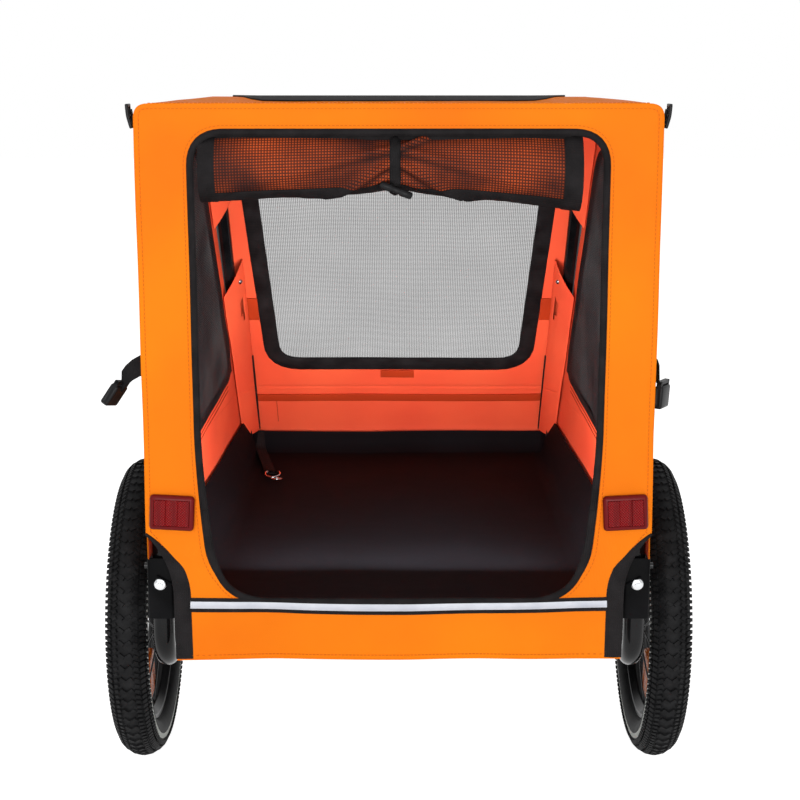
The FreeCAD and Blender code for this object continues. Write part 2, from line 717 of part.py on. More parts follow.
def make_clamp_knob():
    """A scalloped hand knob on the inner end of the rear pivot pin."""
    face = s.hoop_half - s.bracket_half - s.seat_gap - s.knob_width
    centre = at(face, -s.frame_rear, s.pivot_height)
    disc = cylinder("clamp_knob", "knob_radius", "knob_width", centre, AXIS_X)
    tools = [cylinder("clamp_knob_bore", "pin_radius + running_gap", "knob_width", centre, AXIS_X)]
    for index in range(int(s.knob_lobes)):
        angle = 2 * math.pi * index / s.knob_lobes
        offset = Vector(0, math.cos(angle), math.sin(angle)) * (s.knob_radius + s.knob_scallop / 2)
        tools.append(cylinder("clamp_knob_scallop", "knob_scallop", "knob_width", centre + offset, AXIS_X))
    both_sides("clamp_knob", cut("clamp_knob", disc, *tools))


def make_hoop(label, half, length, placement):
    """A U-shaped tube whose legs turn on pins at the local X axis."""
    path = [
        (-half, 0, 0),
        (-half, length + s.leg_end, s.hoop_bend),
        (half, length + s.leg_end, s.hoop_bend),
        (half, 0, 0),
    ]
    start = placement.multiply(Placement(Vector(0, 0, -s.leg_end), Rotation()))
    tube = bent_tube(label + "_tube", "XZ_Plane", "XY_Plane", path, "tube_radius", start)
    holes = []
    for side in (-1, 1):
        base = placement.multVec(Vector(side * half - 2 * s.tube_radius, 0, 0))
        hole = cylinder(label + "_pin_hole", "pin_radius + running_gap", "4 * tube_radius", base, AXIS_X)
        holes.append(hole)
    node(label, cut(label, tube, *holes))


def rear_hoop_place():
    return Placement(at(0, -s.frame_rear, s.pivot_height), Rotation())


def front_slope_place():
    """The front hoop's plane: local Z runs up the slope from the pivot, local Y points forward."""
    return Placement(at(0, s.front_pivot, s.pivot_height), Rotation(AXIS_X, s.lean))


def make_rear_panel():
    right = [
        (s.body_half, s.roof_outer, s.cloth_corner + s.cloth),
        (s.body_half, s.arch_top, s.cloth_corner),
        (s.skirt_half, s.arch_top - s.body_half + s.skirt_half, s.arch_bend),
        (s.skirt_half, s.skirt_bottom, s.cloth_corner),
    ]
    left = [(-x, z, bend) for x, z, bend in reversed(right)]
    door = [
        (s.door_half, s.door_top, s.door_top_bend),
        (s.door_half, s.door_sill, s.door_sill_bend),
        (-s.door_half, s.door_sill, s.door_sill_bend),
        (-s.door_half, s.door_top, s.door_top_bend),
    ]
    place = Placement(at(0, s.cloth - s.panel_rear, 0), Rotation())
    outlines = [rounded(right + left), rounded(door)]
    node("rear_panel", flat_piece("rear_panel", "XZ_Plane", outlines, "cloth", place))


def loft(name, *wires):
    """A solid between closed wires, with straight lines from one to the next."""
    sections = []
    for wire in wires:
        section = doc.addObject("Part::Feature", name + "_section")
        section.Shape = wire
        sections.append(section)
    item = doc.addObject("Part::Loft", name)
    item.Sections = sections
    item.Solid = True
    item.Ruled = True
    return item


def roof_section(half, y):
    """The roof's cross-section, bent down at both corners, with a given half width at a given place."""
    inner = half - s.cloth
    outer_bend = s.cloth_corner + s.cloth
    outline = [
        (-half, s.corner_start, 0),
        (-half, s.roof_outer, outer_bend),
        (half, s.roof_outer, outer_bend),
        (half, s.corner_start, 0),
        (inner, s.corner_start, 0),
        (inner, s.roof_inner, s.cloth_corner),
        (-inner, s.roof_inner, s.cloth_corner),
        (-inner, s.corner_start, 0),
    ]
    edges = Part.sortEdges([edge.toShape() for edge in rounded(outline)])[0]
    wire = Part.Wire(edges)
    wire.Placement = Placement(at(0, y, 0), Rotation(AXIS_X, 90))
    return wire


def make_roof():
    """The roof sheet, bent down over both corners of the hoops and narrower at its front."""
    rear = roof_section(s.body_half, -s.panel_rear + s.cloth + s.seat_gap)
    front = roof_section(s.front_half + s.cloth, s.roof_front)
    node("roof_panel", loft("roof_panel", rear, front))


def slope_y(height, offset=0):
    """Where the front wall's inner face, moved forward by an offset, lies at a height."""
    lean = math.radians(s.lean)
    face = (s.tube_radius + s.seat_gap + offset) / math.cos(lean)
    return s.front_pivot - (height - s.pivot_height) * math.tan(lean) + face


def wall_front(height):
    """Where a side wall ends, against the rear of the front hoop's leg."""
    return slope_y(height, -2 * (s.tube_radius + s.seat_gap))


def wall_rear():
    """Where the tapered part of a side wall starts, ahead of the rear bracket."""
    return -s.rear_plate + s.bracket_depth + s.seat_gap


def wall_point(y, height, thickness):
    """A point on the inner face of a sheet in a side wall, which is drawn in towards the front hoop."""
    low, high = s.wall_bottom, s.corner_start - s.seat_gap
    inset = (s.cloth - thickness) / 2
    wide = s.wall_inner + inset
    foot = s.frame_half - thickness / 2
    edge = foot + (s.front_half + inset - foot) * (height - low) / (high - low)
    share = (y - wall_rear()) / (wall_front(height) - wall_rear())
    return at(wide + (edge - wide) * share, y, height)


def wall_edge(low, high, thickness):
    """The end of a side wall: a thin upright outline between two points."""
    side = AXIS_X * thickness
    return Part.makePolygon([low, low + side, high + side, high, low])


def wall_sheet(name, low, high, margin, thickness):
    """A sheet in a side wall between two heights, up to a margin behind the front hoop's leg."""
    ends = []
    for low_y, high_y in [(wall_rear(), wall_rear()), (wall_front(low) - margin, wall_front(high) - margin)]:
        foot, head = wall_point(low_y, low, thickness), wall_point(high_y, high, thickness)
        ends.append(wall_edge(foot, head, thickness))
    return loft(name, *ends)


def side_window():
    """A block that goes through a side wall in the window's outline."""
    low, high = s.window_sill, s.corner_start - s.window_margin
    rear = s.axle_y + wall_rear() - s.seat_gap
    front = s.axle_y - s.window_margin
    outline = [
        (rear, low, 0),
        (rear, high, 0),
        (front + wall_front(high), high, 0),
        (front + wall_front(low), low, 0),
    ]
    place = Placement(Vector(s.frame_half - s.tube_radius, 0, 0), Rotation())
    depth = "4 * tube_radius + 4 * bow_radius"
    return flat_piece("side_window", "YZ_Plane", [rounded(outline)], depth, place)


def make_side_walls():
    rear = s.axle_y - s.panel_rear + s.cloth + s.seat_gap
    ahead = s.axle_y + wall_rear()
    low, high = s.bracket_top + s.seat_gap, s.corner_start - s.seat_gap
    behind = [(rear, low, 0), (rear, high, 0), (ahead, high, 0), (ahead, low, 0)]
    place = Placement(Vector(s.wall_inner, 0, 0), Rotation())
    flat = flat_piece("side_wall_rear", "YZ_Plane", [rounded(behind)], "cloth", place)
    wall = fuse("side_wall_whole", flat, wall_sheet("side_wall_front", s.wall_bottom, high, 0, s.cloth))
    both_sides("side_wall", cut("side_wall", wall, side_window()))
    sill = s.window_sill + s.seat_gap
    head = s.corner_start - s.window_margin - s.seat_gap
    both_sides("side_mesh", wall_sheet("side_net", sill, head, s.window_margin + s.seat_gap, s.net))


def front_window(margin):
    low = s.front_window_start + margin
    high = s.front_window_end - margin
    right = [
        (s.front_window_half - margin, high, s.window_bend),
        (s.front_window_sill_half - margin, low, s.window_bend),
    ]
    return right + [(-x, z, bend) for x, z, bend in reversed(right)]


def make_front_wall():
    half = s.front_half
    pin_end = s.frame_half - s.tube_radius - s.seat_gap - s.bracket_wall - s.pin_overhang
    foot = pin_end - s.seat_gap
    right = [
        (half, s.slope_length, s.cloth_corner),
        (half, s.front_foot_top, s.front_foot_bend),
        (foot, s.front_foot_bottom, s.front_foot_bend),
        (foot, -s.front_panel_drop, s.front_foot_bend),
    ]
    left = [(-x, z, bend) for x, z, bend in reversed(right)]
    slope = front_slope_place()
    face = s.tube_radius + s.seat_gap + s.cloth
    place = slope.multiply(Placement(Vector(0, face, 0), Rotation()))
    outlines = [rounded(right + left), rounded(front_window(0))]
    node("front_wall", flat_piece("front_wall", "XZ_Plane", outlines, "cloth", place))
    net_face = face - (s.cloth - s.net) / 2
    net_place = slope.multiply(Placement(Vector(0, net_face, 0), Rotation()))
    net_outline = rounded(front_window(s.seat_gap))
    node("front_mesh", flat_piece("front_mesh", "XZ_Plane", [net_outline], "net", net_place))


def make_roof_strip():
    corner = at(-s.strip_half, s.roof_front - s.strip_width, s.roof_outer + s.seat_gap)
    node("roof_strip", box("roof_strip", "2 * strip_half", "strip_width", "strip_height", corner))


def make_floor():
    """A floor sheet lying on the tubes, with its long edges turned up."""
    top = s.floor_top + s.floor_flap
    outer, inner = s.floor_half, s.floor_half - s.cloth
    outline = [
        (-outer, s.floor_bottom, 0),
        (outer, s.floor_bottom, 0),
        (outer, top, 0),
        (inner, top, 0),
        (inner, s.floor_top, 4),
        (-inner, s.floor_top, 4),
        (-inner, top, 0),
        (-outer, top, 0),
    ]
    front = s.front_pivot + s.front_bracket_length / 2
    place = Placement(at(0, front, 0), Rotation())
    length = "front_pivot + front_bracket_length / 2 + panel_rear - cloth - seat_gap"
    node("floor_sheet", flat_piece("floor_sheet", "XZ_Plane", [rounded(outline)], length, place))


def roll_centre(x=0):
    return at(x, s.roll_inset - s.panel_rear, s.roll_height)


def make_door_roll():
    """The rolled door: a bolster drawn in under its strap, hung by a tab from the top of the door."""
    full = s.roll_half / 2
    outline = [
        Part.LineSegment(Vector(-s.roll_half, 0, 0), Vector(-s.roll_half, s.roll_end, 0)),
        Part.Arc(
            Vector(-s.roll_half, s.roll_end, 0), Vector(-full, s.roll_radius, 0), Vector(0, s.roll_waist, 0)
        ),
        Part.Arc(
            Vector(0, s.roll_waist, 0), Vector(full, s.roll_radius, 0), Vector(s.roll_half, s.roll_end, 0)
        ),
        Part.LineSegment(Vector(s.roll_half, s.roll_end, 0), Vector(s.roll_half, 0, 0)),
        Part.LineSegment(Vector(s.roll_half, 0, 0), Vector(-s.roll_half, 0, 0)),
    ]
    bolster = turned("door_bolster", outline, Placement(roll_centre(), Rotation()))
    tab = box(
        "door_tab",
        "2 * roll_half - 2 * door_top_bend",
        "cloth",
        "door_top - seat_gap - roll_height",
        at(s.door_top_bend - s.roll_half, -s.panel_rear, s.roll_height),
    )
    notch = box(
        "door_tab_notch",
        "strap_width + 4 * seat_gap",
        "cloth",
        "door_top - roll_height",
        at(-s.strap_width / 2 - 2 * s.seat_gap, -s.panel_rear, s.roll_height),
    )
    node("door_roll", fuse("door_roll_whole", bolster, cut("door_tab", tab, notch)))


def make_door_strap():
    base = roll_centre(-s.strap_width / 2)
    band = cylinder("strap_band", "roll_waist + strap_room + strap_thickness", "strap_width", base, AXIS_X)
    inside = cylinder("strap_inside", "roll_waist + strap_room", "strap_width", base, AXIS_X)
    node("door_strap", cut("door_strap_loop", band, inside))


def make_toggle():
    reach = s.roll_waist + s.strap_room + s.strap_thickness + s.seat_gap + s.toggle_radius
    outward = unit(Vector(0, -1, -1))
    along = unit(Vector(0, 1, -1))
    tilt = math.radians(s.toggle_tilt)
    axis = AXIS_X * math.cos(tilt) + along * math.sin(tilt)
    middle = roll_centre() + outward * reach
    base = middle - axis * (s.toggle_length / 2)
    node("door_toggle", cylinder("door_toggle", "toggle_radius", "toggle_length", base, axis))


def make_reflector():
    half = s.reflector_width / 2
    tall = s.reflector_height / 2
    outline = [
        (s.reflector_half - half, s.reflector_centre - tall, s.reflector_bend),
        (s.reflector_half - half, s.reflector_centre + tall, s.reflector_bend),
        (s.reflector_half + half, s.reflector_centre + tall, s.reflector_bend),
        (s.reflector_half + half, s.reflector_centre - tall, s.reflector_bend),
    ]
    place = Placement(at(0, -s.panel_rear - s.seat_gap, 0), Rotation())
    lens = flat_piece("reflector", "XZ_Plane", [rounded(outline)], "reflector_depth", place)
    both_sides("rear_reflector", lens)


def make_stripe():
    face = -s.panel_rear - s.seat_gap - s.stripe_thickness
    corner = at(s.edge_band - s.skirt_half, face, s.stripe_centre - s.stripe_height / 2)
    width = "2 * (skirt_half - edge_band)"
    stripe = box("reflective_stripe", width, "stripe_thickness", "stripe_height", corner)
    node("reflective_stripe", stripe)


def side_buckle(name, corner, turn):
    """The open half of a side-release buckle, with its mouth along its local X."""
    shell = box(name, "buckle_length", "buckle_thickness", "buckle_width", corner, turn)
    hollow = box(
        name + "_hollow",
        "buckle_length",
        "buckle_thickness - 2 * buckle_wall",
        "buckle_width - 2 * buckle_wall",
        corner + turn.multVec(Vector(s.buckle_wall, s.buckle_wall, s.buckle_wall)),
        turn,
    )
    return cut(name, shell, hollow)


def make_side_straps():
    """Webbing stubs with open buckles: the left one stands out, the right one hangs down."""
    face = s.body_half + s.seat_gap
    out = Rotation(AXIS_Z, 180)
    down = Rotation(-AXIS_Z, AXIS_X, -AXIS_Y, "XYZ")
    stub = ("side_strap_length", "strap_thickness", "webbing_width")
    edge = (s.buckle_width - s.webbing_width) / 2
    face_on = (s.buckle_thickness - s.strap_thickness) / 2
    low = s.side_strap_height - s.webbing_width / 2
    rear = -s.frame_rear
    left_strap = box("left_strap", *stub, at(-face, rear, low), out)
    left_corner = at(-face - s.side_strap_length - s.seat_gap, rear + face_on, low - edge)
    left_buckle = side_buckle("left_buckle", left_corner, out)
    top = s.side_strap_height + s.webbing_width / 2
    right_strap = box("right_strap", *stub, at(face, rear + s.webbing_width / 2, top), down)
    outside = face + s.strap_thickness + s.seat_gap
    right_corner = at(outside, rear + s.buckle_width / 2, top - s.side_strap_length / 2)
    right_buckle = side_buckle("right_buckle", right_corner, down)
    node("side_straps", group("side_straps", left_strap, right_strap))
    node("side_buckles", group("side_buckles", left_buckle, right_buckle))


def make_ladder_lock():
    corner = at(
        s.body_half + s.seat_gap,
        -s.frame_rear - s.lock_width / 2,
        s.lock_centre - s.lock_height / 2,
    )
    plate = box("ladder_lock", "lock_thickness", "lock_width", "lock_height", corner)
    slots = []
    for height in (s.lock_bar, (s.lock_height + s.lock_bar) / 2):
        slots.append(
            box(
                "ladder_lock_slot",
                "lock_thickness",
                "lock_width - 2 * lock_bar",
                "(lock_height - 3 * lock_bar) / 2",
                corner + Vector(0, s.lock_bar, height),
            )
        )
    pair("corner_buckles", cut("ladder_lock", plate, *slots))


def make_tether():
    turn = Rotation(AXIS_Z, 180 + s.tether_turn)
    start = at(-s.tether_side, s.tether_front, s.floor_top + s.seat_gap)
    strap = box("tether_strap", "tether_width", "tether_length", "strap_thickness", start, turn)
    node("tether_strap", strap)
    end = start + turn.multVec(Vector(s.tether_width / 2, s.tether_length + s.ring_radius + s.ring_wire, 0))
    ring = bind(doc.addObject("Part::Torus", "tether_ring"), Radius1="ring_radius", Radius2="ring_wire")
    ring.Placement = Placement(end + Vector(0, s.seat_gap, s.ring_wire), Rotation())
    node("tether_ring", ring)


def make_drawbar_socket():
    """A fork under the front cross tube in which the drawbar swivels."""
    x = -s.drawbar_side - s.socket_width / 2
    plates = []
    bottom = s.drawbar_top - s.drawbar_size - s.seat_gap - s.socket_wall
    for height in (s.socket_top - s.socket_wall, bottom):
        corner = at(x, s.drawbar_y - s.socket_length, height)
        plates.append(box("socket_plate", "socket_width", "socket_length * 1.5", "socket_wall", corner))
    back = box(
        "socket_back",
        "socket_width",
        "socket_wall",
        "drawbar_size + 2 * seat_gap + 2 * socket_wall",
        at(x, s.drawbar_y - s.socket_length, bottom),
    )
    hole = cylinder(
        "socket_hole",
        "drawbar_bolt_radius + running_gap",
        "drawbar_size + 4 * socket_wall",
        at(-s.drawbar_side, s.drawbar_y, bottom - s.socket_wall / 2),
    )
    node("drawbar_socket", cut("drawbar_socket", fuse("drawbar_socket_whole", *plates, back), hole))
    low = bottom - s.seat_gap / 2
    shank = cylinder(
        "drawbar_bolt_shank",
        "drawbar_bolt_radius",
        "drawbar_size + 2 * socket_wall + 2 * seat_gap",
        at(-s.drawbar_side, s.drawbar_y, low),
    )
    head = cylinder(
        "drawbar_bolt_head",
        "drawbar_bolt_head",
        "drawbar_bolt_head_height",
        at(-s.drawbar_side, s.drawbar_y, low - s.drawbar_bolt_head_height),
    )
    node("drawbar_bolt", fuse("drawbar_bolt", shank, head))


def make_drawbar():
    half = s.drawbar_size / 2
    outline = [
        (-half, -half, half * ROUND_END),
        (-half, s.drawbar_length + half, half * ROUND_END),
        (half, s.drawbar_length + half, half * ROUND_END),
        (half, -half, half * ROUND_END),
    ]
    base = at(-s.drawbar_side, s.drawbar_y, s.drawbar_height - half)
    bar = flat_piece("drawbar_bar", "XY_Plane", [rounded(outline)], "drawbar_size", Placement(base, Rotation()))
    hollow = box(
        "drawbar_hollow",
        "drawbar_size - 2 * drawbar_wall",
        "drawbar_length - 2 * drawbar_plug",
        "drawbar_size - 2 * drawbar_wall",
        base + Vector(s.drawbar_wall - half, s.drawbar_plug, s.drawbar_wall),
    )
    vent = cylinder("drawbar_vent", "drawbar_wall", "drawbar_size / 2", base + Vector(0, s.drawbar_length / 2, 0))
    pivot = cylinder("drawbar_pivot_hole", "drawbar_bolt_radius + running_gap", "drawbar_size", base)
    yaw = cylinder(
        "drawbar_yaw_hole", "hitch_pin_radius + running_gap", "drawbar_size", base + Vector(0, s.drawbar_length, 0)
    )
    node("drawbar", cut("drawbar", bar, hollow, vent, pivot, yaw))


def make_hitch():
    half_height = s.drawbar_size / 2 + s.seat_gap + s.yoke_plate
    low = s.drawbar_height - half_height
    height = "drawbar_size + 2 * seat_gap + 2 * yoke_plate"
    corner = at(-s.drawbar_side - s.yoke_width / 2, s.yaw_y - s.yoke_back, low)
    block = box(
        "yoke_block",
        "yoke_width",
        "yoke_back + drawbar_size / 2 + 2 * yoke_room + yoke_web + link_height",
        height,
        corner,
    )
    bar_slot = box(
        "yoke_bar_slot",
        "yoke_width",
        "yoke_back + drawbar_size / 2 + yoke_room",
        "drawbar_size + 2 * seat_gap",
        corner + Vector(0, 0, s.yoke_plate),
    )
    link_half = s.link_thickness / 2 + s.seat_gap
    link_slot = box(
        "yoke_link_slot",
        "link_thickness + 2 * seat_gap",
        "link_height + yoke_room",
        height,
        at(-s.drawbar_side - link_half, s.web_y + s.yoke_web, low),
    )
    yaw_base = at(-s.drawbar_side, s.yaw_y, low)
    pitch_base = at(-s.drawbar_side - s.yoke_width / 2, s.pitch_y, s.drawbar_height)
    holes = (
        cylinder("yoke_yaw_hole", "hitch_pin_radius + running_gap", height, yaw_base),
        cylinder("yoke_pitch_hole", "hitch_pin_radius + running_gap", "yoke_width", pitch_base, AXIS_X),
    )
    node("hitch_yoke", cut("hitch_yoke", block, bar_slot, link_slot, *holes))
    pins = (
        cylinder("yaw_pin", "hitch_pin_radius", height, yaw_base),
        cylinder("pitch_pin", "hitch_pin_radius", "yoke_width", pitch_base, AXIS_X),
    )
    node("hitch_pins", group("hitch_pins", *pins))


def make_hitch_link():
    """A flat link with one hole for the yoke's pin and one for the bicycle's axle."""
    tall = s.link_height / 2
    outline = [
        (-tall, -tall, tall * ROUND_END),
        (s.link_length + tall, -tall, tall * ROUND_END),
        (s.link_length + tall, tall, tall * ROUND_END),
        (-tall, tall, tall * ROUND_END),
    ]
    base = at(-s.drawbar_side - s.link_thickness / 2, s.pitch_y, s.drawbar_height)
    plate = flat_piece("link_plate", "YZ_Plane", [rounded(outline)], "link_thickness", Placement(base, Rotation()))
    pin_hole = cylinder("link_pin_hole", "hitch_pin_radius + running_gap", "link_thickness", base, AXIS_X)
    eye = cylinder("link_eye", "link_hole_radius", "link_thickness", base + AXIS_Y * s.link_length, AXIS_X)
    node("hitch_link", cut("hitch_link", plate, pin_hole, eye))


def make_wheels():
    make_tyre()
    make_rim()
    make_hub()
    make_bearings()
    make_axle_and_button()
    make_spokes()
    make_spoke_reflector()
    make_valve()


def make_frame():
    make_floor_frame()
    make_cross_tubes()
    make_bow()
    make_receiver()
    make_gusset()
    make_rear_bracket()
    make_bracket_bolt()
    make_front_bracket()
    make_pivot_pins()
    make_clamp_knob()
    make_hoop("rear_hoop", s.hoop_half, s.hoop_top - s.pivot_height, rear_hoop_place())
    make_hoop("front_hoop", s.frame_half, s.slope_length, front_slope_place())


def make_cabin():
    make_rear_panel()
    make_roof()
    make_side_walls()
    make_front_wall()
    make_roof_strip()
    make_floor()
    make_door_roll()
    make_door_strap()
    make_toggle()
    make_reflector()
    make_stripe()
    make_side_straps()
    make_ladder_lock()
    make_tether()


def make_towing():
    make_drawbar_socket()
    make_drawbar()
    make_hitch()
    make_hitch_link()


def check_document():
    for item in doc.Objects:
        if {"Invalid", "Error"} & set(item.State):
            raise RuntimeError(f"{item.Label} failed: {item.State}")
    for item in nodes:
        if item.Shape.isNull() or not item.Shape.isValid() or not item.Shape.Solids:
            raise RuntimeError(f"{item.Label} has no valid solid")


def write_steps():
    os.makedirs("parts", exist_ok=True)
    for item in nodes:
        item.Shape.exportStep(f"parts/{item.Label}.step")
    print(len(nodes), "sub-parts written")


make_wheels()
make_frame()
make_cabin()
make_towing()
doc.recompute()
check_document()
write_steps()
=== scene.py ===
import math

import bmesh
import bpy
from mathutils import Matrix, Vector, noise


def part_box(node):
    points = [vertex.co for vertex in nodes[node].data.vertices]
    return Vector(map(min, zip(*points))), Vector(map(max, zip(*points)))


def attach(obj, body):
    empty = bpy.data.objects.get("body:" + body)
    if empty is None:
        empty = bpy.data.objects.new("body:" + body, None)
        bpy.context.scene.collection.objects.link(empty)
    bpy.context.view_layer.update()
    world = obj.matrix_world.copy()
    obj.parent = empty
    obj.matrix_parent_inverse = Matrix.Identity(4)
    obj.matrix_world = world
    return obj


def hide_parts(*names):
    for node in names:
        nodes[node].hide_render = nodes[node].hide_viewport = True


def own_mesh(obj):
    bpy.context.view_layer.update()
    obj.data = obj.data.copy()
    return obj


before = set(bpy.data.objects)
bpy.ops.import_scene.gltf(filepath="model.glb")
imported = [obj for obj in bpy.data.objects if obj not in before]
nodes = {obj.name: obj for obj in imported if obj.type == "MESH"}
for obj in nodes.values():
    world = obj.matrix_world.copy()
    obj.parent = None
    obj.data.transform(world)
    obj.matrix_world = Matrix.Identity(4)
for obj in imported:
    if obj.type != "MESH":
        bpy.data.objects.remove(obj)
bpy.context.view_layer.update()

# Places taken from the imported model, in metres
axle_low, axle_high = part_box("axle_right")
tyre_low, tyre_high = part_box("tyre_right")
panel_low, panel_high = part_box("rear_panel")
roof_low, roof_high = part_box("roof_panel")
AXLE_Y = (axle_low.y + axle_high.y) / 2
WHEEL_X = (tyre_low.x + tyre_high.x) / 2
BODY_HALF = panel_high.x
BODY_TOP = panel_high.z
SKIRT_LOW = panel_low.z
PANEL_Y = panel_low.y - AXLE_Y

# The wheel's radius and the pale line on its tyre
WHEEL_R = 0.2
TYRE_LINE_R = 0.1742
TYRE_LINE_HALF = 0.0033

# How thick cloth and net are
CLOTH = 0.0018
NET = 0.0006

# The rear panel and its door
SKIRT_HALF = 0.268
ARCH_TOP = 0.373
DOOR_HALF = 0.234
DOOR_LOW = 0.291
DOOR_TOP = 0.841

# The cabin's form: side walls run from the rear bracket to the front hoop
HOOP_HALF = 0.286
BRACKET_TOP = 0.3403
WALL_X = 0.2973
WALL_START = -0.1784
WALL_LOW = 0.312
WALL_TOP = 0.859
FRONT_X_LOW = 0.2575
FRONT_X_TOP = 0.2702
PIVOT_Y = 0.560
PIVOT_Z = 0.326
HOOP_LEAN = 0.410
HOOP_RISE = 0.536
SLOPE = math.atan2(HOOP_LEAN, HOOP_RISE)
TUBE = 0.0113
LEG_ROOM = 0.0142
WALL_OUT = 0.0025
FRONT_OUT = 0.0027

# The rolled door: its radius, its strap's place and the folds that fan out from the strap
ROLL_R = 0.0402
STRAP_X = -0.004
STRAP_HALF = 0.0062
# Each fold's side, angle at the strap, turn per metre, width and depth
FOLD_RAYS = (
    (-1, 0.50, -6.5, 0.12, 0.0044),
    (-1, 0.10, -18.0, 0.13, 0.0048),
    (-1, -0.45, -9.0, 0.13, 0.0036),
    (-1, 1.10, 2.0, 0.18, 0.0032),
    (1, 0.42, 14.0, 0.12, 0.0044),
    (1, 0.10, -17.0, 0.13, 0.0048),
    (1, 0.50, -7.0, 0.12, 0.0040),
    (1, -0.60, -8.0, 0.14, 0.0034),
)

# The reflectors' rows of prisms and upright bars
PRISM_PITCH = 0.0032
BAR_PITCH = 0.018

# Cloth pieces are cut in two at this height
FOLD_LINE = 0.402
FOLDS_WHOLE = ("side_", "corner_")

# The sign of x and the word in a piece's name
SIDES = ((1, "right"), (-1, "left"))


def at(x, y, z):
    """A point of the trailer, with y counted from the axle."""
    return Vector((x, y + AXLE_Y, z))


def srgb(red, green, blue):
    """The linear colour of a tone as a picture shows it, each part from 0 to 255."""
    tones = []
    for part in (red, green, blue):
        share = part / 255
        tones.append(share / 12.92 if share < 0.04 else ((share + 0.055) / 1.055) ** 2.4)
    return (*tones, 1.0)


def maths_method(operation, swapped=False):
    """A method for one of Python's operators, which adds a maths node to the finish."""
    def method(wire, other):
        values = (other, wire) if swapped else (wire, other)
        return wire.finish.maths(operation, *values)
    return method


class Wire:
    """A socket of a finish, on which Python's operators add maths nodes."""

    def __init__(self, finish, socket):
        self.finish = finish
        self.socket = socket

    __add__ = __radd__ = maths_method("ADD")
    __mul__ = __rmul__ = maths_method("MULTIPLY")
    __sub__ = maths_method("SUBTRACT")
    __rsub__ = maths_method("SUBTRACT", swapped=True)
    __gt__ = maths_method("GREATER_THAN")
    __lt__ = maths_method("LESS_THAN")


class Finish:
    """A material, or a world, put together from nodes."""

    def __init__(self, name, owner=None):
        self.owner = owner or bpy.data.materials.new(name)
        self.owner.use_nodes = True
        self.tree = self.owner.node_tree
        self.tree.nodes.clear()

    def node(self, kind, settings=None, sockets=None, out=0):
        """Adds a node, sets it up, fills its sockets with values or wires, and gives back one output."""
        made = self.tree.nodes.new(kind)
        for key, value in (settings or {}).items():
            setattr(made, key, value)
        for key, value in (sockets or {}).items():
            if isinstance(value, Wire):
                self.tree.links.new(value.socket, made.inputs[key])
            else:
                made.inputs[key].default_value = value
        return Wire(self, made.outputs[out]) if made.outputs else None

    def maths(self, operation, *values):
        return self.node("ShaderNodeMath", {"operation": operation}, dict(enumerate(values)))

    def clamp(self, value):
        return self.node("ShaderNodeClamp", None, {"Value": value})

    def mix(self, share, first, second):
        sockets = {0: share, 6: first, 7: second}
        return self.node("ShaderNodeMix", {"data_type": "RGBA"}, sockets, 2)

    def place(self):
        return self.node("ShaderNodeTexCoord", out=3)

    def along(self, axis):
        """The distance along an axis, in metres."""
        return self.node("ShaderNodeVectorMath", {"operation": "DOT_PRODUCT"}, {0: self.place(), 1: axis}, 1)

    def cut(self):
        """The place on the flat cut, in metres: along it and across it."""
        spot = self.node("ShaderNodeUVMap", {"uv_map": "cut"})
        parts = self.node("ShaderNodeSeparateXYZ", None, {0: spot}).socket.node
        return Wire(self, parts.outputs[0]), Wire(self, parts.outputs[1])

    def noise(self, scale, detail=2.0):
        sockets = {"Vector": self.place(), "Scale": scale, "Detail": detail}
        return self.node("ShaderNodeTexNoise", None, sockets)

    def ripple(self, distance, pitch):
        """A wave between 0 and 1 that repeats at a pitch."""
        return self.maths("SINE", distance * (2 * math.pi / pitch)) * 0.5 + 0.5

    def threads(self, u, v, pitch, sharp, thin):
        """Crossing threads at a pitch: 1 on a thread and 0 in the gaps."""
        across, along = (self.clamp(self.ripple(place, pitch) * sharp - thin) for place in (u, v))
        return self.maths("MAXIMUM", across, along)

    def bump(self, height, depth, strength):
        sockets = {"Strength": strength, "Distance": depth, "Height": height}
        return self.node("ShaderNodeBump", None, sockets)

    def shade(self, colour, roughness, normal, shine=0.5, **constants):
        sockets = {"Base Color": colour, "Roughness": roughness, "Normal": normal}
        sockets["Specular IOR Level"] = shine
        sockets.update({key.replace("_", " "): value for key, value in constants.items()})
        surface = self.node("ShaderNodeBsdfPrincipled", None, sockets)
        self.node("ShaderNodeOutputMaterial", None, {"Surface": surface})
        return self.owner


def coated_cloth(name, light, deep, rough=0.5, thread=0.0012, shine=0.16):
    """Coated woven polyester: plain weave, soft clouds of tone, fine creases."""
    f = Finish(name)
    u, v = f.cut()
    weave = f.ripple(u, thread) * f.ripple(v, thread)
    clouds = f.noise(5.0, 3.0)
    tone = f.mix(f.clamp(clouds * 2.4 - 0.7), deep, light)
    shaded = f.mix(weave * 0.10, tone, deep)
    creases = f.noise(38.0, 4.0)
    normal = f.bump(weave * 0.25 + creases * 0.9, 0.0011, 0.6)
    return f.shade(shaded, clouds * 0.16 + rough, normal, shine)


def net_cloth(name, thread_tone, pitch, solid, thin, uneven):
    """Open mesh: crossing threads with see-through gaps between them."""
    f = Finish(name)
    u, v = f.cut()
    threads = f.threads(u, v, pitch, 3.2, 2.0)
    folds = f.noise(9.0, 2.0)
    cover = f.clamp(threads * (solid - thin) + thin + (folds - 0.5) * uneven)
    tone = f.mix(f.noise(60.0), thread_tone, srgb(44, 40, 42))
    normal = f.bump(threads, 0.0004, 0.5)
    return f.shade(tone, folds * 0.2 + 0.6, normal, Alpha=cover, shine=0.1)


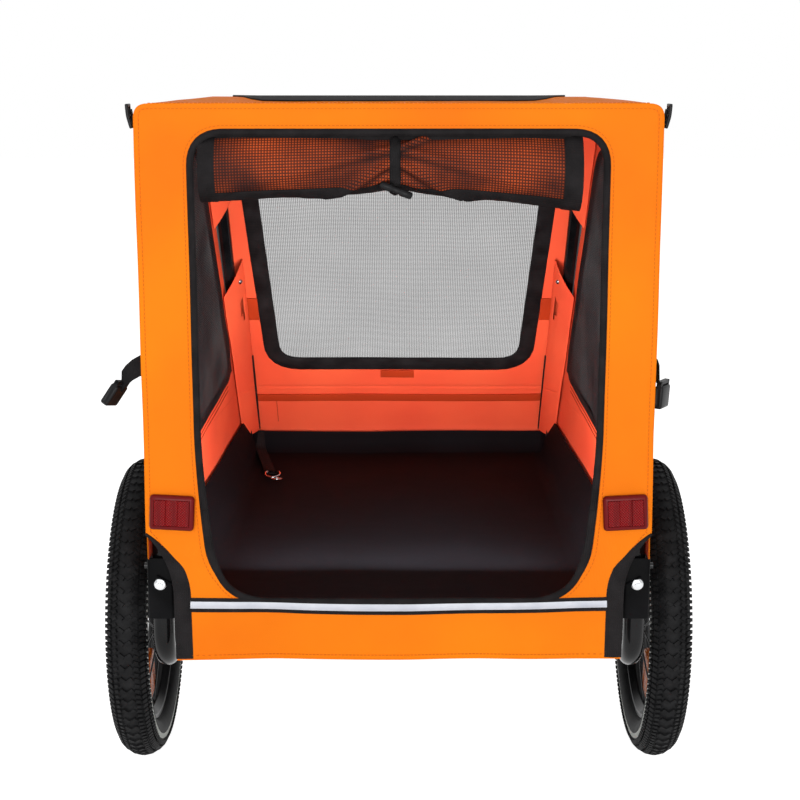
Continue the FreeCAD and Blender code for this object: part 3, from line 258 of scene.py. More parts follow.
def webbing(name, tone, worn, rib=0.0016):
    """Woven tape with ribs across it and a slightly lighter, worn surface."""
    f = Finish(name)
    u, v = f.cut()
    ribs = f.ripple(u, rib)
    cords = f.ripple(v, rib * 2)
    wear = f.noise(45.0, 4.0)
    colour = f.mix(f.clamp(wear * 1.6 - 0.5), tone, worn)
    normal = f.bump(ribs * 0.8 + cords * 0.4 + wear * 0.5, 0.0007, 0.7)
    return f.shade(colour, wear * 0.2 + 0.62, normal, shine=0.12)


def moulded_plastic(name, tone, worn, rough=0.38):
    """Moulded plastic with a fine spark-eroded grain."""
    f = Finish(name)
    grain = f.noise(900.0, 2.0)
    clouds = f.noise(30.0, 3.0)
    colour = f.mix(clouds * 0.5, tone, worn)
    normal = f.bump(grain, 0.0003, 0.35)
    return f.shade(colour, clouds * 0.22 + rough - 0.1, normal, shine=0.12)


def powder_coat(name, tone, rough, coat, shine):
    """Paint baked on steel: faint orange peel and a few dull patches."""
    f = Finish(name)
    peel = f.noise(420.0, 1.0)
    dull = f.noise(14.0, 4.0)
    colour = f.mix(f.clamp(dull * 1.4 - 0.6), tone, srgb(40, 40, 42))
    normal = f.bump(peel, 0.0002, 0.25)
    return f.shade(colour, dull * 0.14 + rough, normal, shine, Coat_Weight=coat, Coat_Roughness=0.08)


def bare_metal(name, tone, rough, grain=260.0):
    """Plated metal with fine scratches along its length."""
    f = Finish(name)
    scratches = f.noise(grain, 4.0)
    clouds = f.noise(22.0, 3.0)
    colour = f.mix(clouds * 0.4, tone, srgb(120, 120, 122))
    normal = f.bump(scratches, 0.0002, 0.3)
    return f.shade(colour, scratches * 0.14 + rough, normal, Metallic=1.0)


def tyre_rubber():
    """Black rubber with a thin pale line round each side wall, dust in the grooves and fine mould marks."""
    f = Finish("tyre_rubber")
    spot = f.node("ShaderNodeVectorMath", {"operation": "MULTIPLY"}, {0: f.place(), 1: (0.0, 1.0, 1.0)})
    hub = (0.0, AXLE_Y, WHEEL_R)
    radius = f.node("ShaderNodeVectorMath", {"operation": "DISTANCE"}, {0: spot, 1: hub}, 1)
    line = f.maths("ABSOLUTE", radius - TYRE_LINE_R) < TYRE_LINE_HALF
    dust = f.noise(70.0, 5.0)
    rubber = f.mix(f.clamp(dust * 1.8 - 0.75), srgb(19, 19, 20), srgb(47, 47, 48))
    colour = f.mix(line, rubber, srgb(240, 244, 238))
    rings = f.ripple(radius, 0.0022)
    normal = f.bump(rings * 0.25 + dust * 0.8, 0.0005, 0.6)
    return f.shade(colour, dust * 0.25 + 0.5, normal, shine=0.1)


def prism_lens(name, bright, dark):
    """A moulded lens over rows of small prisms, with smoother upright bars between the fields."""
    f = Finish(name)
    x = f.along((1.0, 0.0, 0.0))
    z = f.along((0.0, 0.0, 1.0))
    prisms = f.ripple(x + z, PRISM_PITCH) * f.ripple(x - z, PRISM_PITCH)
    bars = f.clamp(f.ripple(x, BAR_PITCH) * 2.2 - 1.2)
    colour = f.mix(f.clamp(prisms * 1.3 - bars * 0.4), dark, bright)
    haze = f.noise(120.0, 3.0)
    normal = f.bump(prisms * (1 - bars), 0.0009, 0.7)
    return f.shade(colour, haze * 0.12 + 0.2, normal, shine=0.1)


def silver_tape():
    """Grey light-returning tape, with a fine bead grain and soft scuffs."""
    f = Finish("stripe_silver")
    across = f.cut()[1]
    beads = f.noise(1500.0, 1.0)
    scuffs = f.noise(26.0, 4.0)
    colour = f.mix(f.clamp(scuffs * 1.5 - 0.3), srgb(176, 180, 192), srgb(226, 229, 236))
    normal = f.bump(beads + f.ripple(across, 0.001) * 0.2, 0.0002, 0.4)
    return f.shade(colour, scuffs * 0.2 + 0.36, normal, shine=0.7)


def net_over_orange():
    """The rolled door: dark net drawn tight over orange cloth, with painted shade along the folds and soft
    patches of painted light and shade in the orange under the net.
    """
    f = Finish("door_net")
    u, v = f.cut()
    threads = f.threads(u, v, 0.0034, 2.4, 0.9)
    light = f.noise(11.0, 3.0)
    # The orange under the net runs from deep brown to orange in soft patches of painted light and shade
    under = f.mix(f.clamp(light * 2.6 - 0.85), srgb(66, 26, 20), srgb(232, 98, 44))
    # Painted shade along each fold that fans out from the strap
    fold_shade = 0.0
    for side, start, slope, *_ in FOLD_RAYS:
        reach = (u - STRAP_X) * side
        off = f.maths("ABSOLUTE", v * (1 / ROLL_R) - reach * slope - (start - 0.19))
        fade = f.clamp(reach * -9.0 + 1.1) * (reach > 0.0)
        fold_shade = f.maths("MAXIMUM", fold_shade, f.clamp(off * -6.0 + 1.0) * fade)
    colour = f.mix(threads * 0.86, under, srgb(24, 20, 21))
    fold_shaded = f.mix(fold_shade * 0.85, colour, srgb(20, 15, 15))
    normal = f.bump(threads, 0.0006, 0.7)
    return f.shade(fold_shaded, light * 0.2 + 0.55, normal, shine=0.12)


def thread(name, tone, shine):
    """Sewing thread with a twist along it."""
    f = Finish(name)
    twist = f.ripple(f.along((0.6, 0.5, 0.6)), 0.0006)
    colour = f.mix(twist * 0.5, tone, shine)
    return f.shade(colour, twist * 0.2 + 0.5, f.bump(twist, 0.0002, 0.5), shine=0.1)


ORANGE = coated_cloth("orange_cloth", srgb(253, 137, 10), srgb(247, 121, 6), shine=0.12)
# The cloth's inner side: its own coated face, made darker and redder with painted shade and painted light
# coming through the cloth
LINING_AND_SHADE = coated_cloth("orange_lining", srgb(246, 97, 62), srgb(226, 78, 52), 0.55)
# Painted shadow: a darker copy of the inner cloth, for the shadows that the stripe and patches on the outside
# cast through the cloth
STRIPE_SHADOW_CLOTH = coated_cloth("orange_lining_dark", srgb(190, 62, 28), srgb(160, 48, 22), 0.55)
FLOOR_CLOTH = coated_cloth("floor_cloth", srgb(17, 17, 20), srgb(11, 11, 13), 0.62, 0.0016, 0.05)
WINDOW_NET = net_cloth("window_net", srgb(24, 22, 23), 0.0027, 0.60, 0.19, 0.07)
SIDE_NET = net_cloth("side_net", srgb(22, 19, 21), 0.0024, 0.97, 0.80, 0.3)
BINDING = webbing("binding_tape", srgb(20, 18, 19), srgb(44, 41, 42))
STRAP = webbing("strap_webbing", srgb(16, 15, 16), srgb(40, 38, 39), 0.0022)
DOOR_NET = net_over_orange()
PLASTIC = moulded_plastic("buckle_plastic", srgb(20, 20, 21), srgb(44, 44, 46))
TYRE = tyre_rubber()
RIM = powder_coat("rim_black", srgb(14, 14, 15), 0.22, 0.06, 0.08)
SPOKE = powder_coat("spoke_black", srgb(18, 18, 19), 0.3, 0.1, 0.2)
HUB = powder_coat("hub_black", srgb(22, 22, 23), 0.28, 0.2, 0.2)
TUBE_PAINT = powder_coat("tube_gloss_black", srgb(9, 9, 10), 0.12, 0.14, 0.1)
BRACKET_PAINT = powder_coat("bracket_satin_black", srgb(12, 12, 13), 0.42, 0.0, 0.03)
STEEL = bare_metal("plated_steel", srgb(188, 188, 190), 0.26)
CHROME = bare_metal("bright_chrome", srgb(226, 228, 230), 0.08, 120.0)
ZINC = bare_metal("hitch_zinc", srgb(170, 172, 168), 0.34)
RED_LENS = prism_lens("reflector_red", srgb(186, 30, 32), srgb(92, 9, 12))
RED_RIM = moulded_plastic("reflector_rim", srgb(96, 14, 16), srgb(140, 26, 28), 0.3)
AMBER_LENS = prism_lens("reflector_amber", srgb(255, 146, 34), srgb(196, 84, 8))
SILVER = silver_tape()
ORANGE_THREAD = thread("orange_thread", srgb(214, 100, 14), srgb(240, 128, 30))
RED_THREAD = thread("lining_thread", srgb(138, 42, 24), srgb(176, 62, 38))


def everything(bm):
    return bm.verts[:] + bm.edges[:] + bm.faces[:]


def steps_joined(steps):
    """One matrix that does all the steps, the last one first."""
    matrix = Matrix.Identity(4)
    for step in steps:
        matrix = matrix @ step
    return matrix


def move(bm, place, *turns):
    """Turns a bmesh by matrices, the last one first, and puts it in its place."""
    matrix = steps_joined([Matrix.Translation(place), *turns])
    bmesh.ops.transform(bm, matrix=matrix, verts=bm.verts[:])


def turned(degrees, axis):
    return Matrix.Rotation(math.radians(degrees), 4, axis)


def outward(bm):
    bmesh.ops.recalc_face_normals(bm, faces=bm.faces[:])


def lathe(points, axis, steps):
    """A shell turned from a chain of points, about an axis through the origin."""
    bm = bmesh.new()
    verts = [bm.verts.new(point) for point in points]
    chain = [bm.edges.new(ends) for ends in zip(verts, verts[1:])]
    bmesh.ops.spin(bm, geom=verts + chain, cent=(0, 0, 0), axis=axis, angle=2 * math.pi, steps=steps,
                   use_merge=True)
    return bm


def add_block(bm, size, *steps):
    """Adds a block of a size to a bmesh and gives back its points."""
    matrix = steps_joined(steps) @ Matrix.Diagonal((*size, 1))
    return bmesh.ops.create_cube(bm, size=1, matrix=matrix)["verts"]


def linked(name, data):
    """A new object at the origin, in the scene."""
    made = bpy.data.objects.new(name, data)
    bpy.context.scene.collection.objects.link(made)
    return made


def mesh_of(name, bm, finishes):
    mesh = bpy.data.meshes.new(name)
    bm.to_mesh(mesh)
    bm.free()
    for finish in finishes:
        mesh.materials.append(finish)
    return mesh


def piece(name, bm, finishes, body="chassis", smooth=40):
    """Makes an object of a bmesh and lets it ride on a body."""
    mesh = mesh_of(name, bm, finishes)
    mesh.shade_smooth()
    mesh.set_sharp_from_angle(angle=math.radians(smooth))
    made = linked(name, mesh)
    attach(made, body)
    return made


def thicken(made, thickness, offset=-1.0, lined=False):
    wall = made.modifiers.new("wall", "SOLIDIFY")
    wall.thickness = thickness
    wall.offset = offset
    wall.material_offset = 1 if lined else 0
    shade = made.modifiers.new("shade", "WEIGHTED_NORMAL")
    shade.weight = 100


def break_edges(made, width):
    edge = made.modifiers.new("edge", "BEVEL")
    edge.width = width
    edge.segments = 2


def lay_down(made):
    """Gives a piece its own copy of its mesh."""
    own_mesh(made)


def both_halves(name, bm, finishes, finish_piece):
    """Makes a piece below the fold line and one above it."""
    made = []
    for part, cleared in (("lower", {"clear_outer": True}), ("upper", {"clear_inner": True})):
        half = bm.copy()
        line = {"plane_co": (0, 0, FOLD_LINE), "plane_no": (0, 0, 1)}
        bmesh.ops.bisect_plane(half, geom=everything(half), dist=1e-6, **line, **cleared)
        if not half.faces:
            half.free()
            continue
        width, length, area = cut_size(half)
        item = piece(f"{name}_{part}", half, finishes)
        finish_piece(item, width, length, area)
        if part == "upper" or name.startswith(FOLDS_WHOLE):
            lay_down(item)
        made.append(item)
    bm.free()
    return made


def spread(places, step):
    """Places with others evenly between them, no further apart than a step."""
    full = []
    for first, last in zip(places, places[1:]):
        count = max(1, math.ceil((last - first) / step - 1e-6))
        full += [first + (last - first) * index / count for index in range(count)]
    return full + [places[-1]]


def flat_cut(us, vs, step=0.012):
    """A flat sheet in (u, v) with cut lines where its outline will need them."""
    bm = bmesh.new()
    ends = ((us[0], vs[0]), (us[-1], vs[0]), (us[-1], vs[-1]), (us[0], vs[-1]))
    bm.faces.new([bm.verts.new((u, v, 0)) for u, v in ends])
    for normal, places in (((1, 0, 0), us), ((0, 1, 0), vs)):
        for line in spread(places, step)[1:-1]:
            point = Vector(normal) * line
            bmesh.ops.bisect_plane(bm, geom=everything(bm), plane_co=point, plane_no=normal, dist=1e-6)
    return bm


def cut_out(bm, inside):
    """Takes away the faces whose middle lies inside an outline."""
    gone = [face for face in bm.faces if inside(*face.calc_center_median().xy)]
    bmesh.ops.delete(bm, geom=gone, context="FACES")


def bend_edge(bm, corner, first, last, place):
    """Moves the edge points on two straight arms, which meet at a corner, onto a curve."""
    corner = Vector(corner)
    arms = [(Vector(first) - corner, -1), (Vector(last) - corner, 1)]
    total = sum(arm.length for arm, way in arms)
    moves = {}
    for vert in bm.verts:
        if not vert.is_boundary:
            continue
        spot = vert.co.xy - corner
        for arm, way in arms:
            reach = spot.dot(arm.normalized())
            off = (spot - arm.normalized() * reach).length
            if off < 1e-5 and -1e-5 <= reach <= arm.length + 1e-5:
                moves[vert] = place((arms[0][0].length + way * reach) / total)
    for vert, spot in moves.items():
        vert.co.xy = spot
    near = [vert for vert in bm.verts if not vert.is_boundary and (vert.co.xy - corner).length < total]
    for turn in range(4):
        bmesh.ops.smooth_vert(bm, verts=near, factor=0.5, use_axis_x=True, use_axis_y=True)


def arc_lines(corner, radius, way):
    """Cut lines that give a rounded corner enough points."""
    return [corner + way * radius * part / 4 for part in range(1, 5)]


def edge_walk(bm, near):
    """The (u, v) points round the edge of a flat cut that passes nearest to a point."""
    rim = [vert for vert in bm.verts if vert.is_boundary]
    here = min(rim, key=lambda vert: (vert.co.xy - Vector(near)).length)
    walk = []
    while here and here not in walk:
        walk.append(here)
        around = [edge.other_vert(here) for edge in here.link_edges if edge.is_boundary]
        here = next((vert for vert in around if vert not in walk), None)
    return [vert.co.xy.copy() for vert in walk]


def share_of(value):
    """A value kept between 0 and 1."""
    return max(0.0, min(1.0, value))


def drape(bm, form, wrinkle):
    """Lays a flat cut on a form, which gives a point and the way out, and keeps the cut as its UV map."""
    store = bm.loops.layers.uv.new("cut")
    for face in bm.faces:
        for loop in face.loops:
            loop[store].uv = loop.vert.co.xy
    ways = {}
    for vert in bm.verts:
        u, v, height = vert.co
        point, out = form(u, v)
        ways[vert] = out
        vert.co = point + out * (wrinkle(u, v) + height)
    bm.normal_update()
    if sum(face.normal.dot(ways[face.verts[0]]) for face in bm.faces) < 0:
        bmesh.ops.reverse_faces(bm, faces=bm.faces[:])
    return bm


def cut_size(bm):
    """Width, length and area of the flat cut that a draped sheet was made from."""
    store = bm.loops.layers.uv.get("cut")
    if not store:
        return 0, 0, 0
    area = 0
    spots = []
    for face in bm.faces:
        ring = [loop[store].uv.copy() for loop in face.loops]
        spots += ring
        area += abs(sum(a.x * b.y - b.x * a.y for a, b in zip(ring, ring[1:] + ring[:1]))) / 2
    width = max(spot.x for spot in spots) - min(spot.x for spot in spots)
    length = max(spot.y for spot in spots) - min(spot.y for spot in spots)
    return width, length, area


FRAME_SHARE = 0.32


def declare_cloth(made, width, length, area):
    """Compares a piece's cut area with its width and length; nothing is done with the result.
    Names a piece as cloth with its cut; a narrow frame is named as a strip of the same area.
    """
    if area < FRAME_SHARE * width * length:
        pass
    else:
        covered = min(area, width * length)


def cloth(name, bm, finishes, stands_for, thickness=CLOTH):
    """A cloth piece, in two halves at the fold line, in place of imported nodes."""
    def finish_piece(made, width, length, area):
        thicken(made, thickness, lined=len(finishes) > 1)
        declare_cloth(made, width, length, area)
        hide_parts(*stands_for)
    return both_halves(name, bm, finishes, finish_piece)


def ways_along(chain, closed):
    """The direction along a chain of points and the one to its left, at each point."""
    count = len(chain)
    found = []
    for index in range(count):
        before = chain[(index - 1) % count if closed else max(index - 1, 0)]
        after = chain[(index + 1) % count if closed else min(index + 1, count - 1)]
        way = (after - before).normalized()
        found.append((way, Vector((-way.y, way.x))))
    return found


def tape(name, chain, near, far, form, wrinkle, finish=None, closed=False, thickness=0.0042):
    """A band sewn along a chain of points, from a near to a far distance to the left of it."""
    ways = ways_along(chain, closed)
    bm = bmesh.new()
    rows = []
    for share, crown in ((0.0, 0.0), (0.5, 0.0006), (1.0, 0.0)):
        row = []
        for index, (spot, (way, left)) in enumerate(zip(chain, ways)):
            end = far[index] if isinstance(far, list) else far
            place = spot + left * (near + (end - near) * share)
            row.append(bm.verts.new((*place, crown - CLOTH / 2)))
        rows.append(row)
    last = len(chain) if closed else len(chain) - 1
    loops = [[bm.edges.new((row[i], row[(i + 1) % len(row)])) for i in range(last)] for row in rows]
    for first, second in zip(loops, loops[1:]):
        bmesh.ops.bridge_loops(bm, edges=first + second)
    drape(bm, form, wrinkle)

    def finish_piece(made, width, length, area):
        thicken(made, thickness, 0.0)
    return both_halves(name, bm, [finish or BINDING], finish_piece)


def wind(chain, clockwise):
    """A closed chain put in a given turning sense."""
    area = sum(a.x * b.y - b.x * a.y for a, b in zip(chain, chain[1:] + chain[:1]))
    return chain[::-1] if (area > 0) == clockwise else chain


STITCH = (0.0031, 0.0008, 0.0007)
STITCH_PITCH = 0.0048


def stitches(name, rows, form, wrinkle, finish, closed=False):
    """Rows of short stitches that lie on a form; each row is a chain of points and a distance to its left."""
    bm = bmesh.new()
    for chain, aside in rows:
        ways = ways_along(chain, closed)
        line = [spot + left * aside for spot, (way, left) in zip(chain, ways)]
        if closed:
            line.append(line[0])
        run = 0.0
        for first, last in zip(line, line[1:]):
            span = (last - first).length
            while run < span:
                u, v = first.lerp(last, run / span)
                point, out = form(u, v)
                ahead = form(*(Vector((u, v)) + (last - first) / span * 0.001))[0]
                way = (ahead - point).normalized()
                place = Matrix.Translation(point + out * (wrinkle(u, v) + 0.0003))
                lie = Matrix((way, out.cross(way), out)).transposed().to_4x4()
                add_block(bm, STITCH, place, lie)
                run += STITCH_PITCH
            run -= span
    return both_halves(name, bm, [finish], lambda made, width, length, area: None)


def ripples(amount, seed, scale=4.5):
    """Soft wrinkles of a given depth, the same every time."""
    def wrinkle(u, v):
        broad = noise.noise(Vector((u * scale, v * scale, seed)))
        fine = noise.noise(Vector((u * scale * 2.7, v * scale * 2.1, seed + 7.3)))
        return amount * (broad * 0.75 + fine * 0.35)
    return wrinkle


def no_wrinkle(u, v):
    return 0.0


def soften(bm, corner, first, last):
    """Rounds a corner of the outline between two points on its edges."""
    def place(share):
        ends = Vector(first) * (1 - share) ** 2 + Vector(last) * share ** 2
        return ends + Vector(corner) * 2 * share * (1 - share)
    bend_edge(bm, corner, first, last, place)


def lines(*main, extra=()):
    """Sorted cut lines: the main ones, and others that are not too near to them."""
    kept = list(main)
    for line in extra:
        if all(abs(line - other) > 0.002 for other in kept):
            kept.append(line)
    return sorted(kept)


# Rear panel with its door opening and wheel arches
ARCH_R = 0.109
ARCH_LOW = ARCH_TOP - ARCH_R * math.sin(math.pi / 4)
ROOF_BEND = 0.0167
DOOR_HEAD = 0.036
DOOR_SILL = 0.066
HEM_BEND = 0.014
DRAW_IN = 0.017
DRAW_START = 0.50
DRAW_SPAN = 0.17
HEM_WAVE = 0.0012
HEM_LIFT = 0.0022
HEM_START = 0.32
HEM_SPAN = 0.05
ARCH_BAND = 0.013


def rear_form(u, v):
    """The upright rear face; the door's edges draw in towards the sill and the hems run a little wavy."""
    drawn = share_of((DRAW_START - v) / DRAW_SPAN) ** 1.5 * DRAW_IN
    room = share_of(min((SKIRT_HALF - abs(u)) / (SKIRT_HALF - DOOR_HALF), abs(u) / 0.2))
    wave = HEM_WAVE * noise.noise(Vector((u * 3, v * 7, 2.0)))
    lift = HEM_LIFT * noise.noise(Vector((u * 9, 3.1, v * 2)))
    low = share_of((HEM_START - v) / HEM_SPAN)
    return at(u - math.copysign(drawn * room, u) + wave, PANEL_Y, v + lift * low), Vector((0, -1, 0))


rear_wrinkle = ripples(0.0022, 1.0)


def arch_place(share, side):
    turn = share * math.pi / 4
    return Vector((side * (SKIRT_HALF + ARCH_R * (1 - math.cos(turn))), ARCH_LOW + ARCH_R * math.sin(turn)))


def make_rear_panel():
    right = lines(
        BODY_HALF, SKIRT_HALF, DOOR_HALF, DOOR_HALF - DOOR_SILL, DOOR_HALF - DOOR_HEAD,
        extra=arc_lines(BODY_HALF, ROOF_BEND, -1) + arc_lines(DOOR_HALF, DOOR_SILL, -1),
    )
    across = [-u for u in reversed(right)] + right
    up = lines(
        SKIRT_LOW, SKIRT_LOW + HEM_BEND, DOOR_LOW, DOOR_LOW + DOOR_SILL, ARCH_LOW, ARCH_TOP,
        DOOR_TOP - DOOR_HEAD, DOOR_TOP, BODY_TOP,
        extra=arc_lines(BODY_TOP, ROOF_BEND, -1) + arc_lines(DOOR_TOP, DOOR_HEAD, -1),
    )
    bm = flat_cut(across, up)
    cut_out(bm, lambda u, v: abs(u) < DOOR_HALF and DOOR_LOW < v < DOOR_TOP)
    cut_out(bm, lambda u, v: abs(u) > SKIRT_HALF and v < ARCH_TOP)
    for side in (-1, 1):
        for half, height, bend, way in (
            (DOOR_HALF, DOOR_TOP, DOOR_HEAD, -1),
            (DOOR_HALF, DOOR_LOW, DOOR_SILL, 1),
            (BODY_HALF, BODY_TOP, ROOF_BEND, -1),
        ):
            edge = side * half
            soften(bm, (edge, height), (edge - side * bend, height), (edge, height + way * bend))
        edge = side * SKIRT_HALF
        bend_edge(
            bm, (edge, ARCH_TOP), (edge, ARCH_LOW), (side * BODY_HALF, ARCH_TOP),
            lambda share, side=side: arch_place(share, side),
        )
    door = wind(edge_walk(bm, (0, DOOR_LOW)), True)
    rim = wind(edge_walk(bm, (0, SKIRT_LOW)), False)
    cloth("rear_panel_cloth", drape(bm, rear_form, rear_wrinkle), [ORANGE, LINING_AND_SHADE],
          ["rear_panel"])
    tape("door_binding", door, -0.001, 0.0066, rear_form, rear_wrinkle, closed=True)
    rows = [(door, 0.0105), (rim, 0.006)]
    stitches("door_stitches", rows, rear_form, rear_wrinkle, ORANGE_THREAD, closed=True)
    for side, word in SIDES:
        curve = [arch_place(step / 14, side) for step in range(15)]
        rises = [SKIRT_LOW + 0.002 + (ARCH_LOW - SKIRT_LOW) * step / 8 for step in range(8)]
        leg = [Vector((side * SKIRT_HALF, rise)) for rise in rises]
        chain = leg + curve
        shares = [min(1.0, (len(chain) - 1 - index) / 9 + 0.04) for index in range(len(chain))]
        widths = [side * ARCH_BAND * share for share in shares]
        tape(f"arch_binding_{word}", chain, -side * 0.001, widths, rear_form, rear_wrinkle, thickness=0.003)


make_rear_panel()


# Roof, side walls, front wall and floor
ROOF_FLAT = BODY_HALF - ROOF_BEND
ROOF_REAR = roof_low.y - AXLE_Y
ROOF_FRONT = roof_high.y - AXLE_Y
ROOF_FRONT_HALF = FRONT_X_TOP + FRONT_OUT
ROOF_SLACK = 0.016
REAR_REST = 0.034
FRONT_REST = 0.030


def roof_form(u, v):
    """The roof: bent down at both sides, narrower at the front and slightly slack between the hoops."""
    share = (v - ROOF_REAR) / (ROOF_FRONT - ROOF_REAR)
    half = BODY_HALF + (ROOF_FRONT_HALF - BODY_HALF) * share - ROOF_BEND
    turn = max(0.0, abs(u) - ROOF_FLAT) / ROOF_BEND
    x = min(abs(u), ROOF_FLAT) / ROOF_FLAT * half + ROOF_BEND * math.sin(turn)
    hang = share_of((v - ROOF_REAR - REAR_REST) / (ROOF_FRONT - ROOF_REAR - REAR_REST - FRONT_REST))
    slack = ROOF_SLACK * math.sin(math.pi * hang) * max(0.0, 1 - (u / ROOF_FLAT) ** 6)
    z = BODY_TOP - ROOF_BEND * (1 - math.cos(turn)) - slack
    return at(math.copysign(x, u), v, z), Vector((math.copysign(math.sin(turn), u), 0, math.cos(turn)))


def make_roof():
    reach = ROOF_FLAT + ROOF_BEND * math.pi / 2
    bends = [ROOF_FLAT + (reach - ROOF_FLAT) * step / 4 for step in range(5)]
    bm = flat_cut([-u for u in reversed(bends)] + bends, [ROOF_REAR, ROOF_FRONT], 0.016)
    hem = [Vector((u, ROOF_REAR + 0.006)) for u in spread([-ROOF_FLAT, ROOF_FLAT], 0.03)]
    wrinkle = ripples(0.0016, 4.0)
    cloth("roof_cloth", drape(bm, roof_form, wrinkle), [ORANGE, LINING_AND_SHADE], ["roof_panel"])
    stitches("roof_stitches", [(hem, 0.0)], roof_form, wrinkle, ORANGE_THREAD)


def hoop_y(z):
    """Where the front hoop's leg stands at a height."""
    return PIVOT_Y - (z - PIVOT_Z) * math.tan(SLOPE)


def wall_front(z):
    """Where a side wall ends behind the front hoop's leg."""
    return hoop_y(z) - LEG_ROOM


def wall_x(y, z):
    """The inner face of a side wall."""
    share = max(0.0, (y - WALL_START) / (wall_front(z) - WALL_START))
    front = FRONT_X_LOW + (FRONT_X_TOP - FRONT_X_LOW) * (z - WALL_LOW) / (WALL_TOP - WALL_LOW)
    return WALL_X + (front - WALL_X) * share


def side_form(side):
    def form(u, v):
        return at(side * (wall_x(u, v) + WALL_OUT), u, v), Vector((side, 0, 0))
    return form


WINDOW_REAR = -0.152
WINDOW_TOP = 0.801
WINDOW_EDGE = 0.046
SILL_FRONT = Vector((0.392, 0.446))
SILL_REAR = Vector((WINDOW_REAR, 0.392))


def sill_height(y):
    share = (y - SILL_REAR.x) / (SILL_FRONT.x - SILL_REAR.x)
    return SILL_REAR.y + (SILL_FRONT.y - SILL_REAR.y) * share


def window_corners():
    """The side window's corners, from the rear of its sill round to the front of its sill."""
    front_top = wall_front(WINDOW_TOP) - WINDOW_EDGE
    y = SILL_FRONT.x
    for turn in range(6):
        y = wall_front(sill_height(y)) - WINDOW_EDGE
    upper = [Vector((WINDOW_REAR, WINDOW_TOP)), Vector((front_top, WINDOW_TOP))]
    return [SILL_REAR, *upper, Vector((y, sill_height(y)))]


def cut_line(bm, first, last, **cleared):
    """Cuts a flat sheet along the straight line through two points."""
    way = (last - first).normalized()
    plane = {"plane_co": (*first, 0), "plane_no": (way.y, -way.x, 0)}
    bmesh.ops.bisect_plane(bm, geom=everything(bm), dist=1e-5, **plane, **cleared)


def in_window(u, v):
    return u > WINDOW_REAR and sill_height(u) < v < WINDOW_TOP and u < wall_front(v) - WINDOW_EDGE


def soften_ring(bm, corners, reach):
    """Rounds every corner of a closed outline."""
    count = len(corners)
    for index, corner in enumerate(corners):
        before = (corners[index - 1] - corner).normalized() * reach
        after = (corners[(index + 1) % count] - corner).normalized() * reach
        soften(bm, corner, corner + before, corner + after)


def window_cuts(bm, corners):
    """Cuts along the outline of a window."""
    for index, corner in enumerate(corners):
        cut_line(bm, corners[index - 1], corner)


def make_side_wall(side, word):
    corners = window_corners()
    rear, foot = PANEL_Y + 0.003, wall_front(WALL_LOW)
    form = side_form(side)
    wrinkle = ripples(0.0026, 11.0 + side, 5.0)
    bm = flat_cut([rear, WALL_START, WINDOW_REAR, foot], [WALL_LOW, BRACKET_TOP, WINDOW_TOP, WALL_TOP], 0.016)
    front_line = (Vector((foot, WALL_LOW)), Vector((wall_front(WALL_TOP), WALL_TOP)))
    cut_line(bm, *front_line, clear_outer=True)
    window_cuts(bm, corners)
    cut_out(bm, in_window)
    cut_out(bm, lambda u, v: u < WALL_START and v < BRACKET_TOP)
    soften_ring(bm, corners, 0.04)
    hole = wind(edge_walk(bm, corners[1].lerp(corners[2], 0.5)), True)
    cloth(f"side_wall_cloth_{word}", drape(bm, form, wrinkle), [ORANGE, LINING_AND_SHADE],
          [f"side_wall_{word}"])
    tape(f"side_window_binding_{word}", hole, -0.002, 0.008, form, wrinkle, closed=True)
    hem = [Vector((y, sill_height(y))) for y in spread([-0.13, 0.37], 0.03)]

    def inside(u, v):
        return wrinkle(u, v) - CLOTH - 0.001

    rows = [(hem, -0.014), (hem, -0.021)]
    stitches(f"side_stitches_{word}", rows, form, inside, RED_THREAD)
    net = flat_cut([WINDOW_REAR, corners[3].x], [SILL_REAR.y, WINDOW_TOP], 0.014)
    window_cuts(net, corners)
    cut_out(net, lambda u, v: not in_window(u, v))
    slack = ripples(0.006, 31.0 + side, 7.0)
    sheet = drape(net, form, lambda u, v: slack(u, v) - 0.002)
    cloth(f"side_net_{word}", sheet, [SIDE_NET], [f"side_mesh_{word}"],
          NET)


make_roof()
for side, word in SIDES:
    make_side_wall(side, word)


def slope_form(u, v):
    """The leaning front wall: u across, v up the slope from the hoop's pivot."""
    up = Vector((0, -math.sin(SLOPE), math.cos(SLOPE)))
    out = Vector((0, math.cos(SLOPE), math.sin(SLOPE)))
    return at(u, PIVOT_Y, PIVOT_Z) + up * v + out * (TUBE + FRONT_OUT), out


FRONT_HALF = 0.2702
FRONT_FOOT = 0.2398
FRONT_FOOT_TOP = 0.052
FRONT_LOW = -0.046
FRONT_TOP = 0.672
FRONT_SILL = 0.150
FRONT_HEAD = 0.600
FRONT_BAND = 0.022


def front_corners():
    right = [Vector((0.1925, FRONT_SILL)), Vector((0.2115, FRONT_HEAD))]
    return right + [Vector((-spot.x, spot.y)) for spot in reversed(right)]


def in_front_window(u, v):
    low, high = front_corners()[:2]
    share = (v - low.y) / (high.y - low.y)
    return 0 < share < 1 and abs(u) < low.x + (high.x - low.x) * share


